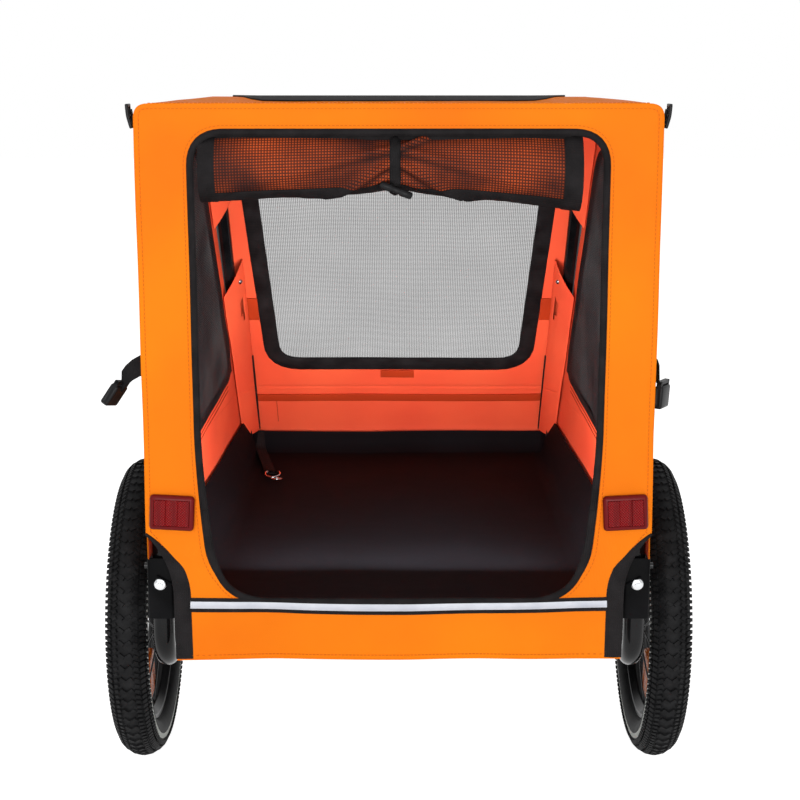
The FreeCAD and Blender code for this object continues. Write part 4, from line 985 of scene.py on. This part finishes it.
def make_front_wall():
    corners = front_corners()
    wrinkle = ripples(0.0022, 21.0)
    bm = flat_cut([-FRONT_HALF, -FRONT_FOOT, FRONT_FOOT, FRONT_HALF],
                  [FRONT_LOW, FRONT_FOOT_TOP, FRONT_SILL, FRONT_HEAD, FRONT_TOP], 0.014)
    window_cuts(bm, corners)
    cut_out(bm, in_front_window)
    cut_out(bm, lambda u, v: abs(u) > FRONT_FOOT and v < FRONT_FOOT_TOP)
    soften_ring(bm, corners, 0.034)
    hole = wind(edge_walk(bm, (0, FRONT_SILL)), True)
    cloth("front_wall_cloth", drape(bm, slope_form, wrinkle), [ORANGE, LINING_AND_SHADE],
          ["front_wall"])
    tape("front_window_band", hole, -0.002, FRONT_BAND, slope_form, wrinkle, closed=True, thickness=0.005)
    net = flat_cut([-corners[1].x, corners[1].x], [FRONT_SILL, FRONT_HEAD], 0.016)
    window_cuts(net, corners)
    cut_out(net, lambda u, v: not in_front_window(u, v))
    slack = ripples(0.003, 23.0, 5.0)
    sheet = drape(net, slope_form, lambda u, v: slack(u, v) - 0.001)
    cloth("front_net", sheet, [WINDOW_NET], ["front_mesh"],
          NET)

    def inside(u, v):
        return wrinkle(u, v) - CLOTH - 0.0012

    hem = [Vector((u, 0.060)) for u in spread([-0.236, 0.236], 0.03)]
    # A band of painted shadow where the reflective stripe on the outside shows through the cloth
    tape("front_hem_band", hem, -0.008, 0.008, slope_form, inside, STRIPE_SHADOW_CLOTH, thickness=0.0016)
    upright = [Vector((-0.203, v)) for v in spread([0.0, 0.055], 0.01)]
    rows = [(hem, -0.0065), (hem, 0.0065)]
    stitches("front_stitches", rows, slope_form, lambda u, v: inside(u, v) - 0.0012, RED_THREAD)
    stitches("front_seam", [(upright, 0.0)], slope_form, inside, RED_THREAD)
    # Painted shadows of patches on the outside, seen through the cloth
    patch = [Vector((u, 0.118)) for u in spread([-0.030, 0.024], 0.012)]
    tape("front_patch", patch, -0.008, 0.008, slope_form, inside, STRIPE_SHADOW_CLOTH, thickness=0.0012)
    for side, word in SIDES:
        tab = [Vector((side * 0.2285, v)) for v in spread([0.245, 0.292], 0.01)]
        tape(f"corner_tab_{word}", tab, -0.009, 0.009, slope_form, inside, STRIPE_SHADOW_CLOTH, thickness=0.0014)


FLOOR_HALF = 0.236
FLAP = 0.062
FLOOR_Z = 0.2825
FRONT_CREASE = 0.556
REAR_CREASE = -0.215
FLOOR_FRONT = 0.592
FLOOR_REAR = -0.247
FLAP_LEAN = 0.86
FLAP_ROOM = 0.005
# How far the turned-up edges go along and up, for each metre of cloth
FRONT_TURN = (0.5, 0.86)
REAR_TURN = (0.96, 0.18)


def floor_form(u, v):
    """The floor: flat, with leaning flaps at the sides and a turned-up front edge."""
    spare = max(0.0, abs(u) - FLOOR_HALF)
    ahead = max(0.0, v - FRONT_CREASE)
    behind = max(0.0, REAR_CREASE - v)
    y = min(max(v, REAR_CREASE), FRONT_CREASE) + ahead * FRONT_TURN[0] - behind * REAR_TURN[0]
    room = wall_x(min(y, 0.5), 0.33) - FLAP_ROOM - FLOOR_HALF
    lean = min(FLAP_LEAN, room / FLAP)
    x = min(abs(u), FLOOR_HALF) + spare * lean
    z = FLOOR_Z + spare * math.sqrt(1 - lean * lean) + ahead * FRONT_TURN[1] + behind * REAR_TURN[1]
    return at(math.copysign(x, u), y, z), Vector((0, 0, 1))


GUSSET = 0.056
GUSSET_TOP = 0.862
LINING_LAP = 0.030
LINING_X = 0.2365
SLOT_LOW = 0.603
SLOT_HIGH = 0.715
SLOT_SLANT = 1.0
SLANT_START = 0.40
SLANT_SPAN = 0.15
LINING_BELLY = 0.003
NOTCH_LOW = 0.505
NOTCH_TALL = 0.050
NOTCH_PLACE = 0.040
NOTCH_HALF = 0.007


def gusset_form(side):
    """The lining round a front hoop leg, from the side wall to the front wall: u across it, v its height."""
    def form(u, v):
        slant = SLOT_SLANT * share_of((v - SLANT_START) / SLANT_SPAN)
        z = min(GUSSET_TOP, v + (u - GUSSET / 2) * slant)
        rear_y = wall_front(z) - LINING_LAP
        start = at(side * (wall_x(rear_y, z) - 0.0012), rear_y, z)
        end = at(side * LINING_X, hoop_y(z) + TUBE / math.cos(SLOPE) - 0.004, z)
        out = Vector((side * 0.88, 0.42, 0.2)).normalized()
        belly = LINING_BELLY * math.sin(math.pi * u / GUSSET)
        return start.lerp(end, u / GUSSET) - out * belly, out
    return form


def in_notch(u, v):
    """The small three-cornered gap in the corner lining."""
    share = (v - NOTCH_LOW) / NOTCH_TALL
    return 0 < share < 1 and abs(u - NOTCH_PLACE) < NOTCH_HALF * share


def make_gussets():
    for side, word in SIDES:
        form = gusset_form(side)
        for part, low, high in (("low", 0.316, SLOT_LOW), ("high", SLOT_HIGH, 0.846)):
            bm = flat_cut([0, GUSSET], [low, high], 0.006)
            cut_out(bm, in_notch)
            wrinkle = ripples(0.0012, 51.0 + side, 9.0)
            cloth(f"corner_lining_{part}_{word}", drape(bm, form, wrinkle), [LINING_AND_SHADE],
                  [], 0.0014)
        edge = [Vector((GUSSET, z)) for z in spread([0.318, 0.452], 0.012)]
        tape(f"corner_piping_{word}", edge, -0.0022, 0.0022, form, no_wrinkle, thickness=0.004)
        stud = bmesh.new()
        bmesh.ops.create_uvsphere(stud, u_segments=16, v_segments=8, radius=0.0042)
        point, out = form(GUSSET * 0.72, SLOT_LOW - 0.018)
        move(stud, point - out * 0.001)
        made = piece(f"snap_stud_{word}", stud, [CHROME])
        lay_down(made)


def make_floor():
    edge = FLOOR_HALF + FLAP
    along = [FLOOR_REAR, REAR_CREASE, FRONT_CREASE, FLOOR_FRONT]
    bm = flat_cut([-edge, -FLOOR_HALF, FLOOR_HALF, edge], along, 0.018)
    soft = ripples(0.0035, 41.0, 5.0)
    made = cloth("floor_cloth", drape(bm, floor_form, lambda u, v: max(-0.002, soft(u, v))), [FLOOR_CLOTH],
                 ["floor_sheet"], 0.002)
    lay_down(made[0])


make_front_wall()
make_gussets()
make_floor()


# The rolled door with its strap and toggle
ROLL_Y = -0.219
ROLL_Z = 0.8095
ROLL_LEFT = -0.226
ROLL_RIGHT = 0.207
ROLL_PINCH = 0.0030
PINCH_REACH = 0.022
ROLL_SWELL = 0.0055
SWELL_REACH = 0.21
ROLL_SAG = 0.0055
SAG_REACH = 0.22
ROLL_UNEVEN = 0.0016
FOLD_GAIN = 1.9
FOLD_DIP = 0.22
FOLD_START = 0.010
FOLD_FADE = 0.075


def roll_radius(x, turn):
    """The rolled door's radius: pinched under the strap, with folds that fan out from it."""
    away = x - STRAP_X
    pinch = ROLL_PINCH * math.exp(-(away / PINCH_REACH) ** 2)
    radius = ROLL_R - pinch + ROLL_SWELL * max(0.0, away / SWELL_REACH) ** 2
    for side, start, slope, width, depth in FOLD_RAYS:
        reach = away * side
        if reach <= 0:
            continue
        off = (turn - start - slope * reach) / width
        fade = math.exp(-reach / FOLD_FADE) * min(1.0, reach / FOLD_START)
        radius += FOLD_GAIN * depth * (math.exp(-off * off) - FOLD_DIP) * fade
    soft = noise.noise(Vector((x * 14, math.cos(turn) * 1.2, math.sin(turn) * 1.2)))
    return radius + ROLL_UNEVEN * soft


def roll_form(u, v):
    """The rolled door's surface: u along it, v round it from the side that faces rearwards."""
    turn = v / ROLL_R
    out = Vector((0, -math.cos(turn), math.sin(turn)))
    sag = ROLL_SAG * (u / SAG_REACH) ** 2 + ROLL_SAG * max(0.0, u / SWELL_REACH)
    return at(u, ROLL_Y, ROLL_Z - sag) + out * roll_radius(u, turn), out


def roll_band(name, start, stop, low, high, lift, finish, thickness=0.0016, step=0.006):
    """A band on the rolled door between two places along it and two angles round it."""
    bm = flat_cut([start, stop], [low * ROLL_R, high * ROLL_R], step)
    drape(bm, roll_form, lambda u, v: lift)
    bmesh.ops.remove_doubles(bm, verts=bm.verts[:], dist=1e-5)
    made = piece(name, bm, [finish])
    thicken(made, thickness, 0.0)
    lay_down(made)
    return made


def make_door_roll():
    bm = flat_cut([ROLL_LEFT, ROLL_RIGHT], [-math.pi * ROLL_R, math.pi * ROLL_R], 0.0038)
    drape(bm, roll_form, no_wrinkle)
    bmesh.ops.remove_doubles(bm, verts=bm.verts[:], dist=1e-5)
    rims = [edge for edge in bm.edges if edge.is_boundary]
    caps = bmesh.ops.holes_fill(bm, edges=rims, sides=0)["faces"]
    for cap in caps:
        for depth in (0.0, -0.003, 0.003, -0.003, 0.002):
            bmesh.ops.inset_region(bm, faces=[cap], thickness=0.0045, depth=depth)
    outward(bm)
    roll = piece("door_roll_net", bm, [DOOR_NET], smooth=60)
    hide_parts("door_roll")
    lay_down(roll)
    full = math.pi
    roll_band("door_end_tape_left", ROLL_LEFT - 0.002, ROLL_LEFT + 0.017, -full, full, 0.0008, BINDING)
    roll_band("door_end_tape_right", ROLL_RIGHT - 0.019, ROLL_RIGHT + 0.002, -full, full, 0.0008, BINDING)
    roll_band("door_hem_tape", ROLL_LEFT + 0.004, ROLL_RIGHT - 0.004, -1.32, -0.80, 0.0006, BINDING)
    roll_band("door_head_tape", ROLL_LEFT + 0.008, -0.096, 1.02, 1.26, 0.0006, BINDING)
    ends = (STRAP_X - STRAP_HALF, STRAP_X + STRAP_HALF)
    strap = roll_band("door_strap_web", *ends, -full, full, 0.0016, STRAP, 0.0022, 0.003)
    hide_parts("door_strap")
    tab = [Vector((x, 0.0)) for x in spread([ROLL_LEFT + 0.01, ROLL_RIGHT - 0.01], 0.02)]

    def hang(u, v):
        return at(u, PANEL_Y + 0.006, 0.838 + v), Vector((0, -1, 0))

    tape("door_tab", tab, -0.003, 0.010, hang, no_wrinkle, thickness=0.0016)


def make_toggle():
    """A turned plastic rod with rounded ends and a groove for the strap's loop."""
    half = 0.0195
    shape = ((-half, 0.0), (-half, 0.0026), (-half + 0.0018, 0.0042), (-0.006, 0.0046), (-0.0045, 0.0036),
             (0.0045, 0.0036), (0.006, 0.0046), (half - 0.0018, 0.0042), (half, 0.0026), (half, 0.0))
    bm = lathe([(x, 0, r) for x, r in shape], (1, 0, 0), 20)
    bmesh.ops.remove_doubles(bm, verts=bm.verts[:], dist=1e-6)
    outward(bm)
    point, out = roll_form(STRAP_X + 0.001, -0.78 * ROLL_R)
    move(bm, point + out * 0.0072, turned(21, "Y"))
    toggle = piece("door_toggle_rod", bm, [PLASTIC])
    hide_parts("door_toggle")
    lay_down(toggle)


make_door_roll()
make_toggle()


# Wheels
TREAD_PITCHES = 76
TYRE_TUBE = 0.0262
TYRE_RING = 0.1715


def tyre_profile():
    """The tyre's section: bead, side wall, shoulder and crown, as (x, radius) points."""
    points = [(0.0125, 0.1512), (0.0165, 0.1535)]
    for step in range(13):
        turn = math.radians(-38 + 128 * step / 12)
        points.append((math.cos(turn) * TYRE_TUBE * 0.96, TYRE_RING + math.sin(turn) * TYRE_TUBE * 0.98))
    return points + [(-x, r) for x, r in reversed(points[:-1])]


def tread_block(bm, x, turn, size, skew):
    """One rubber block on the tread, at an angle across the tyre's section."""
    across = math.asin(max(-1.0, min(1.0, x / TYRE_TUBE)))
    place = Vector((x, 0, TYRE_RING + math.cos(across) * TYRE_TUBE * 0.99))
    spin = Matrix.Rotation(turn, 4, "X")
    lean = Matrix.Rotation(across, 4, "Y")
    verts = add_block(bm, size, spin, Matrix.Translation(place), lean, Matrix.Rotation(skew, 4, "Z"))
    faces = [face for vert in verts for face in vert.link_faces]
    top = max(faces, key=lambda face: face.calc_center_median().length)
    bmesh.ops.scale(bm, vec=(0.82, 0.82, 0.9995), verts=top.verts[:],
                    space=Matrix.Translation(-top.calc_center_median()))


def make_tread(bm):
    """One pitch of the tread: a chevron in the middle, slanted blocks beside it, knobs on the shoulders."""
    pitch = 2 * math.pi / TREAD_PITCHES
    for side in (-1, 1):
        tread_block(bm, side * 0.0042, 0.0, (0.0088, 0.0052, 0.0040), side * 0.62)
        for half in (0, 1):
            turn = pitch * (half * 0.5 + 0.12)
            tread_block(bm, side * 0.0122, turn, (0.0072, 0.0046, 0.0036), side * -0.5)
            tread_block(bm, side * 0.0192, turn + pitch * 0.2, (0.0066, 0.0056, 0.0044), side * 0.15)
            tread_block(bm, side * 0.0238, turn + pitch * 0.2, (0.0060, 0.0046, 0.0040), 0.0)


def make_tyre(side, word):
    bm = lathe([(x, 0, r) for x, r in tyre_profile()], (1, 0, 0), 96)
    outward(bm)
    tread = bmesh.new()
    make_tread(tread)
    bmesh.ops.spin(tread, geom=everything(tread), cent=(0, 0, 0), axis=(1, 0, 0), angle=2 * math.pi,
                   steps=TREAD_PITCHES, use_duplicate=True)
    for item, name in ((bm, "tyre_body"), (tread, "tyre_tread")):
        move(item, at(side * WHEEL_X, 0, WHEEL_R))
        made = piece(f"{name}_{word}", item, [TYRE], body=f"wheel_{word}", smooth=35)
        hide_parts(f"tyre_{word}")


def bevel(bm, edges, offset, segments):
    bmesh.ops.bevel(bm, geom=edges, offset=offset, segments=segments, profile=0.5, affect="EDGES",
                    material=-1)


def rounded_box(size, bend):
    """A block with rounded edges, centred at the origin."""
    bm = bmesh.new()
    add_block(bm, size)
    bevel(bm, bm.edges[:], bend, 3)
    return bm


def make_spoke_reflector(word):
    low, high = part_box(f"spoke_reflector_{word}")
    bm = rounded_box((0.011, 0.043, 0.060), 0.0042)
    move(bm, (low + high) / 2, turned(9, "X"))
    made = piece(f"spoke_reflector_lens_{word}", bm, [AMBER_LENS], f"wheel_{word}")
    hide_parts(f"spoke_reflector_{word}")


for side, word in SIDES:
    make_tyre(side, word)
    make_spoke_reflector(word)


# Reflectors, stripe, brackets and bolts on the rear
STRIPE_HALF = 0.2555
STRIPE_Z = 0.2855
STRIPE_SAG = 0.0045
BOLT_RISE = 0.010


def make_reflector(side, word):
    """A red reflector: a raised rim round a lens in three upright fields."""
    low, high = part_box(f"rear_reflector_{word}")
    bm = rounded_box((0.053, 0.010, 0.0425), 0.0045)
    front = min(bm.faces, key=lambda face: face.calc_center_median().y)
    bmesh.ops.inset_region(bm, faces=[front], thickness=0.0008, depth=0.0)
    bmesh.ops.inset_region(bm, faces=[front], thickness=0.0005, depth=-0.0010)
    front.material_index = 1
    fields = [front]
    for x in (-0.0072, 0.0072):
        rims = {part for face in fields for part in (*face.edges, *face.verts)}
        plane = {"plane_co": (x, 0, 0), "plane_no": (1, 0, 0)}
        bmesh.ops.bisect_plane(bm, geom=fields + list(rims), dist=1e-6, **plane)
        fields = [face for face in bm.faces if face.material_index == 1]
    for face in fields:
        inner = abs(face.calc_center_median().x) < 0.004
        bmesh.ops.inset_individual(bm, faces=[face], thickness=0.0007, depth=0.0004 if inner else 0.0012)
    move(bm, (low + high) / 2, turned(-3 * side, "Y"))
    made = piece(f"rear_reflector_lens_{word}", bm, [RED_RIM, RED_LENS], smooth=30)
    lay_down(made)
    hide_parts(f"rear_reflector_{word}")


def make_stripe():
    """A black ribbon along the skirt with a narrower silver tape on it."""
    line = []
    for x in spread([-STRIPE_HALF, STRIPE_HALF], 0.012):
        line.append(Vector((x, STRIPE_Z - STRIPE_SAG * (1 - (x / 0.265) ** 2))))

    def lie(u, v):
        return rear_wrinkle(u, v) + 0.0014 + 0.0006 * noise.noise(Vector((u * 16, 5.0, 1.0)))

    made = tape("stripe_ribbon", line, -0.0090, 0.0085, rear_form, lie, thickness=0.0014)
    tape("stripe_silver_tape", line, -0.0042, 0.0042, rear_form, lambda u, v: lie(u, v) + 0.0009,
         SILVER, thickness=0.0009)
    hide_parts("reflective_stripe")


def make_bracket(word):
    """The rear corner bracket: a folded plate with rounded corners round the bow's upright."""
    low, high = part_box(f"rear_bracket_{word}")
    bm = bmesh.new()
    add_block(bm, high - low)
    gone = [face for face in bm.faces if face.normal.y > 0.9 or abs(face.normal.z) > 0.9]
    bmesh.ops.delete(bm, geom=gone, context="FACES")
    folds = [edge for edge in bm.edges if not edge.is_boundary]
    bevel(bm, folds, 0.004, 4)
    move(bm, (low + high) / 2)
    made = piece(f"rear_bracket_plate_{word}", bm, [BRACKET_PAINT])
    thicken(made, 0.0025)
    break_edges(made, 0.0007)
    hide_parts(f"rear_bracket_{word}")


def make_bolts():
    """Domed chrome bolt heads with a six-sided socket."""
    low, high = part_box("bracket_bolts")
    height = (low.z + high.z) / 2 + BOLT_RISE
    for side, word in SIDES:
        dome = ((0.0048, 0.0040), (0.0068, 0.0030), (0.0080, 0.0010), (0.0080, 0.0))
        bm = lathe([(r, -h, 0) for r, h in dome], (0, 1, 0), 36)
        ring = [edge for edge in bm.edges if edge.is_boundary and edge.verts[0].co.y < -0.002]
        cap = bmesh.ops.holes_fill(bm, edges=ring, sides=0)["faces"]
        bmesh.ops.inset_region(bm, faces=cap, thickness=0.0016, depth=0.0)
        bmesh.ops.inset_region(bm, faces=cap, thickness=0.0002, depth=-0.0026)
        outward(bm)
        move(bm, (side * HOOP_HALF, low.y + 0.0045, height))
        made = piece(f"bracket_bolt_head_{word}", bm, [CHROME])
        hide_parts("bracket_bolts")


for side, word in SIDES:
    make_reflector(side, word)
    make_bracket(word)
make_stripe()
make_bolts()


# Straps, buckles, tether and roof strip
LOCK_RISE = 0.016
LOCK_HALF = 0.010
LOCK_SLOT_HALF = 0.0065
LOCK_SLOTS = ((0.004, 0.012), (0.016, 0.024))
STRAP_PLACE = 0.024
STRIP_HALF = 0.252
STRIP_WIDTH = 0.068


def ribbon(name, path, width_way, width, thickness, folds=True):
    """Webbing of even width along a path of points."""
    bm = bmesh.new()
    ends = [bm.verts.new(path[0] + width_way * (width * side / 2)) for side in (-1, 1)]
    edge = bm.edges.new(ends)
    run = 0.0
    marks = {vert: (0.0, width * side / 2) for vert, side in zip(ends, (-1, 1))}
    for first, last in zip(path, path[1:]):
        run += (last - first).length
        made = bmesh.ops.extrude_edge_only(bm, edges=[edge])["geom"]
        edge = next(item for item in made if isinstance(item, bmesh.types.BMEdge))
        for vert in edge.verts:
            vert.co += last - first
            marks[vert] = (run, (vert.co - last).dot(width_way))
    store = bm.loops.layers.uv.new("cut")
    for face in bm.faces:
        for loop in face.loops:
            loop[store].uv = marks[loop.vert]
    made = piece(name, bm, [STRAP])
    thicken(made, thickness, 0.0)
    if folds:
        lay_down(made)
    return made


def buckle_half(name, place, *turns):
    """The open half of a side-release buckle: a shell with a mouth, side windows and a webbing bar."""
    bm = rounded_box((0.026, 0.010, 0.027), 0.0026)
    mouth = min(bm.faces, key=lambda face: face.calc_center_median().x)
    bmesh.ops.inset_region(bm, faces=[mouth], thickness=0.0024, depth=0.0)
    bmesh.ops.inset_region(bm, faces=[mouth], thickness=0.0002, depth=-0.017)
    for way in (-1, 1):
        window = max(bm.faces, key=lambda face: face.calc_center_median().z * way + face.calc_area() * 10)
        bmesh.ops.inset_region(bm, faces=[window], thickness=0.0022, depth=-0.0008)
    add_block(bm, (0.0035, 0.0055, 0.027), Matrix.Translation((0.0165, 0, 0)))
    for z in (-0.0118, 0.0118):
        add_block(bm, (0.0075, 0.0055, 0.0034), Matrix.Translation((0.0145, 0, z)))
    move(bm, place, *turns, Matrix.Scale(1.06, 4))
    made = piece(name, bm, [PLASTIC], smooth=35)
    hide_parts("side_buckles")
    lay_down(made)


def make_side_straps():
    edge = PANEL_Y + STRAP_PLACE
    left = ((-0.298, 0.573), (-0.305, 0.571), (-0.314, 0.566), (-0.322, 0.559), (-0.327, 0.552))
    right = ((0.298, 0.581), (0.3025, 0.580), (0.3045, 0.574), (0.305, 0.562), (0.3055, 0.550))
    for word, path, across in (("left", left, Vector((0, 0.3, 0.95))), ("right", right, Vector((0, 1, 0)))):
        strap = ribbon(f"side_strap_{word}", [at(x, edge, z) for x, z in path], across, 0.025, 0.0017)
        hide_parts("side_straps")
    buckle_half("side_buckle_left", at(-0.3365, edge, 0.5365), turned(-56, "Y"), turned(70, "X"))
    buckle_half("side_buckle_right", at(0.3110, edge, 0.5345), turned(-86, "Y"), turned(62, "X"))


def in_lock_slot(u, v):
    return abs(u) < LOCK_SLOT_HALF and any(start < v < stop for start, stop in LOCK_SLOTS)


def make_corner_locks():
    """Ladder-lock buckles at the upper corners: a frame with two slots and a raised middle bar."""
    low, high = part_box("corner_buckles")
    middle = (low + high) / 2
    tall = high.z - low.z
    for side, word in SIDES:
        up = [0, *LOCK_SLOTS[0], *LOCK_SLOTS[1], tall]
        bm = flat_cut([-LOCK_HALF, -LOCK_SLOT_HALF, LOCK_SLOT_HALF, LOCK_HALF], up, 1.0)
        cut_out(bm, in_lock_slot)

        def stand_off(u, v, side=side):
            lean = 0.001 + 0.005 * v / tall
            return Vector((side * (high.x + lean), middle.y + u, low.z + LOCK_RISE + v)), Vector((side, 0, 0))

        drape(bm, stand_off, lambda u, v: 0.0014 * math.sin(math.pi * v / tall))
        made = piece(f"corner_lock_{word}", bm, [PLASTIC])
        thicken(made, 0.0036)
        break_edges(made, 0.0009)
        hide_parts("corner_buckles")
        lay_down(made)
        path = [
            Vector((side * (BODY_HALF + out), middle.y, low.z + LOCK_RISE + rise))
            for rise, out in ((-0.014, 0.0004), (0.0, 0.0022), (0.012, 0.0044), (0.022, 0.0062))
        ]
        ribbon(f"corner_web_{word}", path, Vector((0, 1, 0)), 0.012, 0.0015)


def make_tether():
    """A webbing tether on the floor with a D-ring and a small split ring."""
    path = ((-0.236, 0.574, 0.314), (-0.234, 0.560, 0.296), (-0.230, 0.540, 0.2885), (-0.222, 0.495, 0.2880),
            (-0.212, 0.440, 0.2875), (-0.203, 0.390, 0.2880), (-0.200, 0.374, 0.2900))
    across = Vector((0.98, 0.19, 0))
    strap = ribbon("tether_web", [at(*spot) for spot in path], across, 0.017, 0.0018, folds=False)
    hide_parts("tether_strap")
    for name, place, radius, wire, lean in (
        ("tether_d_ring", at(-0.1975, 0.362, 0.2925), 0.0115, 0.0017, 14),
        ("tether_split_ring", at(-0.1900, 0.344, 0.2890), 0.0085, 0.0012, -8),
    ):
        bm = bmesh.new()
        bmesh.ops.create_circle(bm, radius=wire, segments=10)
        move(bm, (radius, 0, 0), turned(90, "X"))
        bmesh.ops.spin(bm, geom=everything(bm), cent=(0, 0, 0), axis=(0, 0, 1), angle=2 * math.pi, steps=40,
                       use_merge=True)
        outward(bm)
        if name == "tether_d_ring":
            for vert in bm.verts:
                vert.co.y = min(vert.co.y, radius * 0.45 + wire * (vert.co.y > radius * 0.6))
        move(bm, place, turned(lean, "X"))
        made = piece(name, bm, [CHROME])
        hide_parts("tether_ring")


def make_roof_strip():
    """The black binding along the roof's front edge, pointed at both ends."""
    line = [Vector((x, ROOF_FRONT + 0.002)) for x in spread([-STRIP_HALF, STRIP_HALF], 0.018)]
    widths = [-STRIP_WIDTH * min(1.0, (STRIP_HALF + 0.004 - abs(spot.x)) / 0.05) for spot in line]
    made = tape("roof_binding", line, 0.0, widths, roof_form, lambda u, v: 0.0012, thickness=0.0024)
    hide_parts("roof_strip")


make_side_straps()
make_corner_locks()
make_tether()
make_roof_strip()


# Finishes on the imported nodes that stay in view
NODE_FINISHES = {
    "rim": RIM, "spokes": SPOKE, "hub": HUB, "bearings": STEEL, "axle": STEEL, "release_button": PLASTIC,
    "tyre_valve": HUB, "floor_frame": TUBE_PAINT, "floor_cross_tubes": TUBE_PAINT, "wheel_bow": TUBE_PAINT,
    "axle_receivers": BRACKET_PAINT, "bow_gussets": BRACKET_PAINT, "front_brackets": BRACKET_PAINT,
    "hoop_pivot_pins": HUB, "clamp_knob": PLASTIC, "rear_hoop": TUBE_PAINT, "front_hoop": TUBE_PAINT,
    "drawbar_socket": BRACKET_PAINT, "drawbar_bolt": STEEL, "drawbar": TUBE_PAINT, "hitch_yoke": ZINC,
    "hitch_pins": STEEL, "hitch_link": ZINC,
}


def finish_nodes():
    for name, item in nodes.items():
        key = name.replace("_right", "").replace("_left", "")
        if key in NODE_FINISHES:
            item.data.materials.clear()
            item.data.materials.append(NODE_FINISHES[key])


finish_nodes()


# Camera, light and floor; the lens and the sensor are in millimetres
CAMERA_LENS = 73.9
CAMERA_SENSOR = 36.0
CAMERA_PITCH = 11.52
CAMERA_PLACE = (0.0015, -2.130, 0.918)
WORLD_LIGHT = 0.26
FLOOR_GLOW = 0.92
WHITE = (1, 1, 1, 1)


def aim_camera():
    data = bpy.data.cameras.new("photo_camera")
    data.lens = CAMERA_LENS
    data.sensor_width = CAMERA_SENSOR
    camera = linked("photo_camera", data)
    camera.location = at(*CAMERA_PLACE)
    camera.rotation_euler = (math.radians(90 - CAMERA_PITCH), 0, 0)
    bpy.context.scene.camera = camera


def soft_box(name, place, target, size, power):
    """A flat lamp of a width, a height and a power in watts, turned to a target."""
    data = bpy.data.lights.new(name, "AREA")
    data.shape = "RECTANGLE"
    data.size, data.size_y = size
    data.energy = power
    lamp = linked(name, data)
    lamp.location = place
    lamp.rotation_euler = (target - place).to_track_quat("-Z", "Y").to_euler()
    return lamp


def seen_rays(f):
    """1 for rays from the camera, from shiny surfaces and through clear ones, and 0 for the light itself."""
    rays = f.node("ShaderNodeLightPath").socket.node.outputs
    seen = Wire(f, rays["Is Camera Ray"])
    for name in ("Is Glossy Ray", "Is Transmission Ray"):
        seen = f.maths("MAXIMUM", seen, Wire(f, rays[name]))
    return seen


def white_world():
    """A white background that lights the object less than it shows."""
    world = bpy.data.worlds.new("studio")
    bpy.context.scene.world = world
    f = Finish("studio", world)
    strength = seen_rays(f) * (1 - WORLD_LIGHT) + WORLD_LIGHT
    back = f.node("ShaderNodeBackground", None, {"Color": WHITE, "Strength": strength})
    f.node("ShaderNodeOutputWorld", None, {"Surface": back})


def floor_finish():
    """A white studio floor that keeps a faint shadow."""
    f = Finish("studio_floor")
    matte = f.node("ShaderNodeBsdfDiffuse", None, {"Color": (0.9, 0.9, 0.9, 1)})
    glow = f.node("ShaderNodeEmission", None, {"Color": WHITE, "Strength": seen_rays(f) * FLOOR_GLOW})
    both = f.node("ShaderNodeAddShader", None, {0: matte, 1: glow})
    f.node("ShaderNodeOutputMaterial", None, {"Surface": both})
    return f.owner


def studio_floor():
    bm = bmesh.new()
    bmesh.ops.create_grid(bm, x_segments=1, y_segments=1, size=14)
    linked("studio_floor", mesh_of("studio_floor", bm, [floor_finish()]))


aim_camera()
white_world()
studio_floor()
soft_box("front_light", at(0, -4.6, 1.15), at(0, 0.1, 0.55), (3.4, 2.0), 140)
soft_box("key_light", at(-1.6, -2.4, 2.4), at(0, -0.2, 0.45), (1.8, 1.4), 10)
soft_box("top_light", at(0, 0.4, 3.2), at(0, 0.1, 0.4), (2.4, 2.4), 12)
cabin_light = soft_box("cabin_light", at(0, -0.13, 0.352), at(0, 0.45, 0.52), (0.40, 0.06), 4.0)
cabin_light.visible_camera = False
cabin_light.visible_glossy = False

bpy.context.scene.view_settings.view_transform = "Standard"
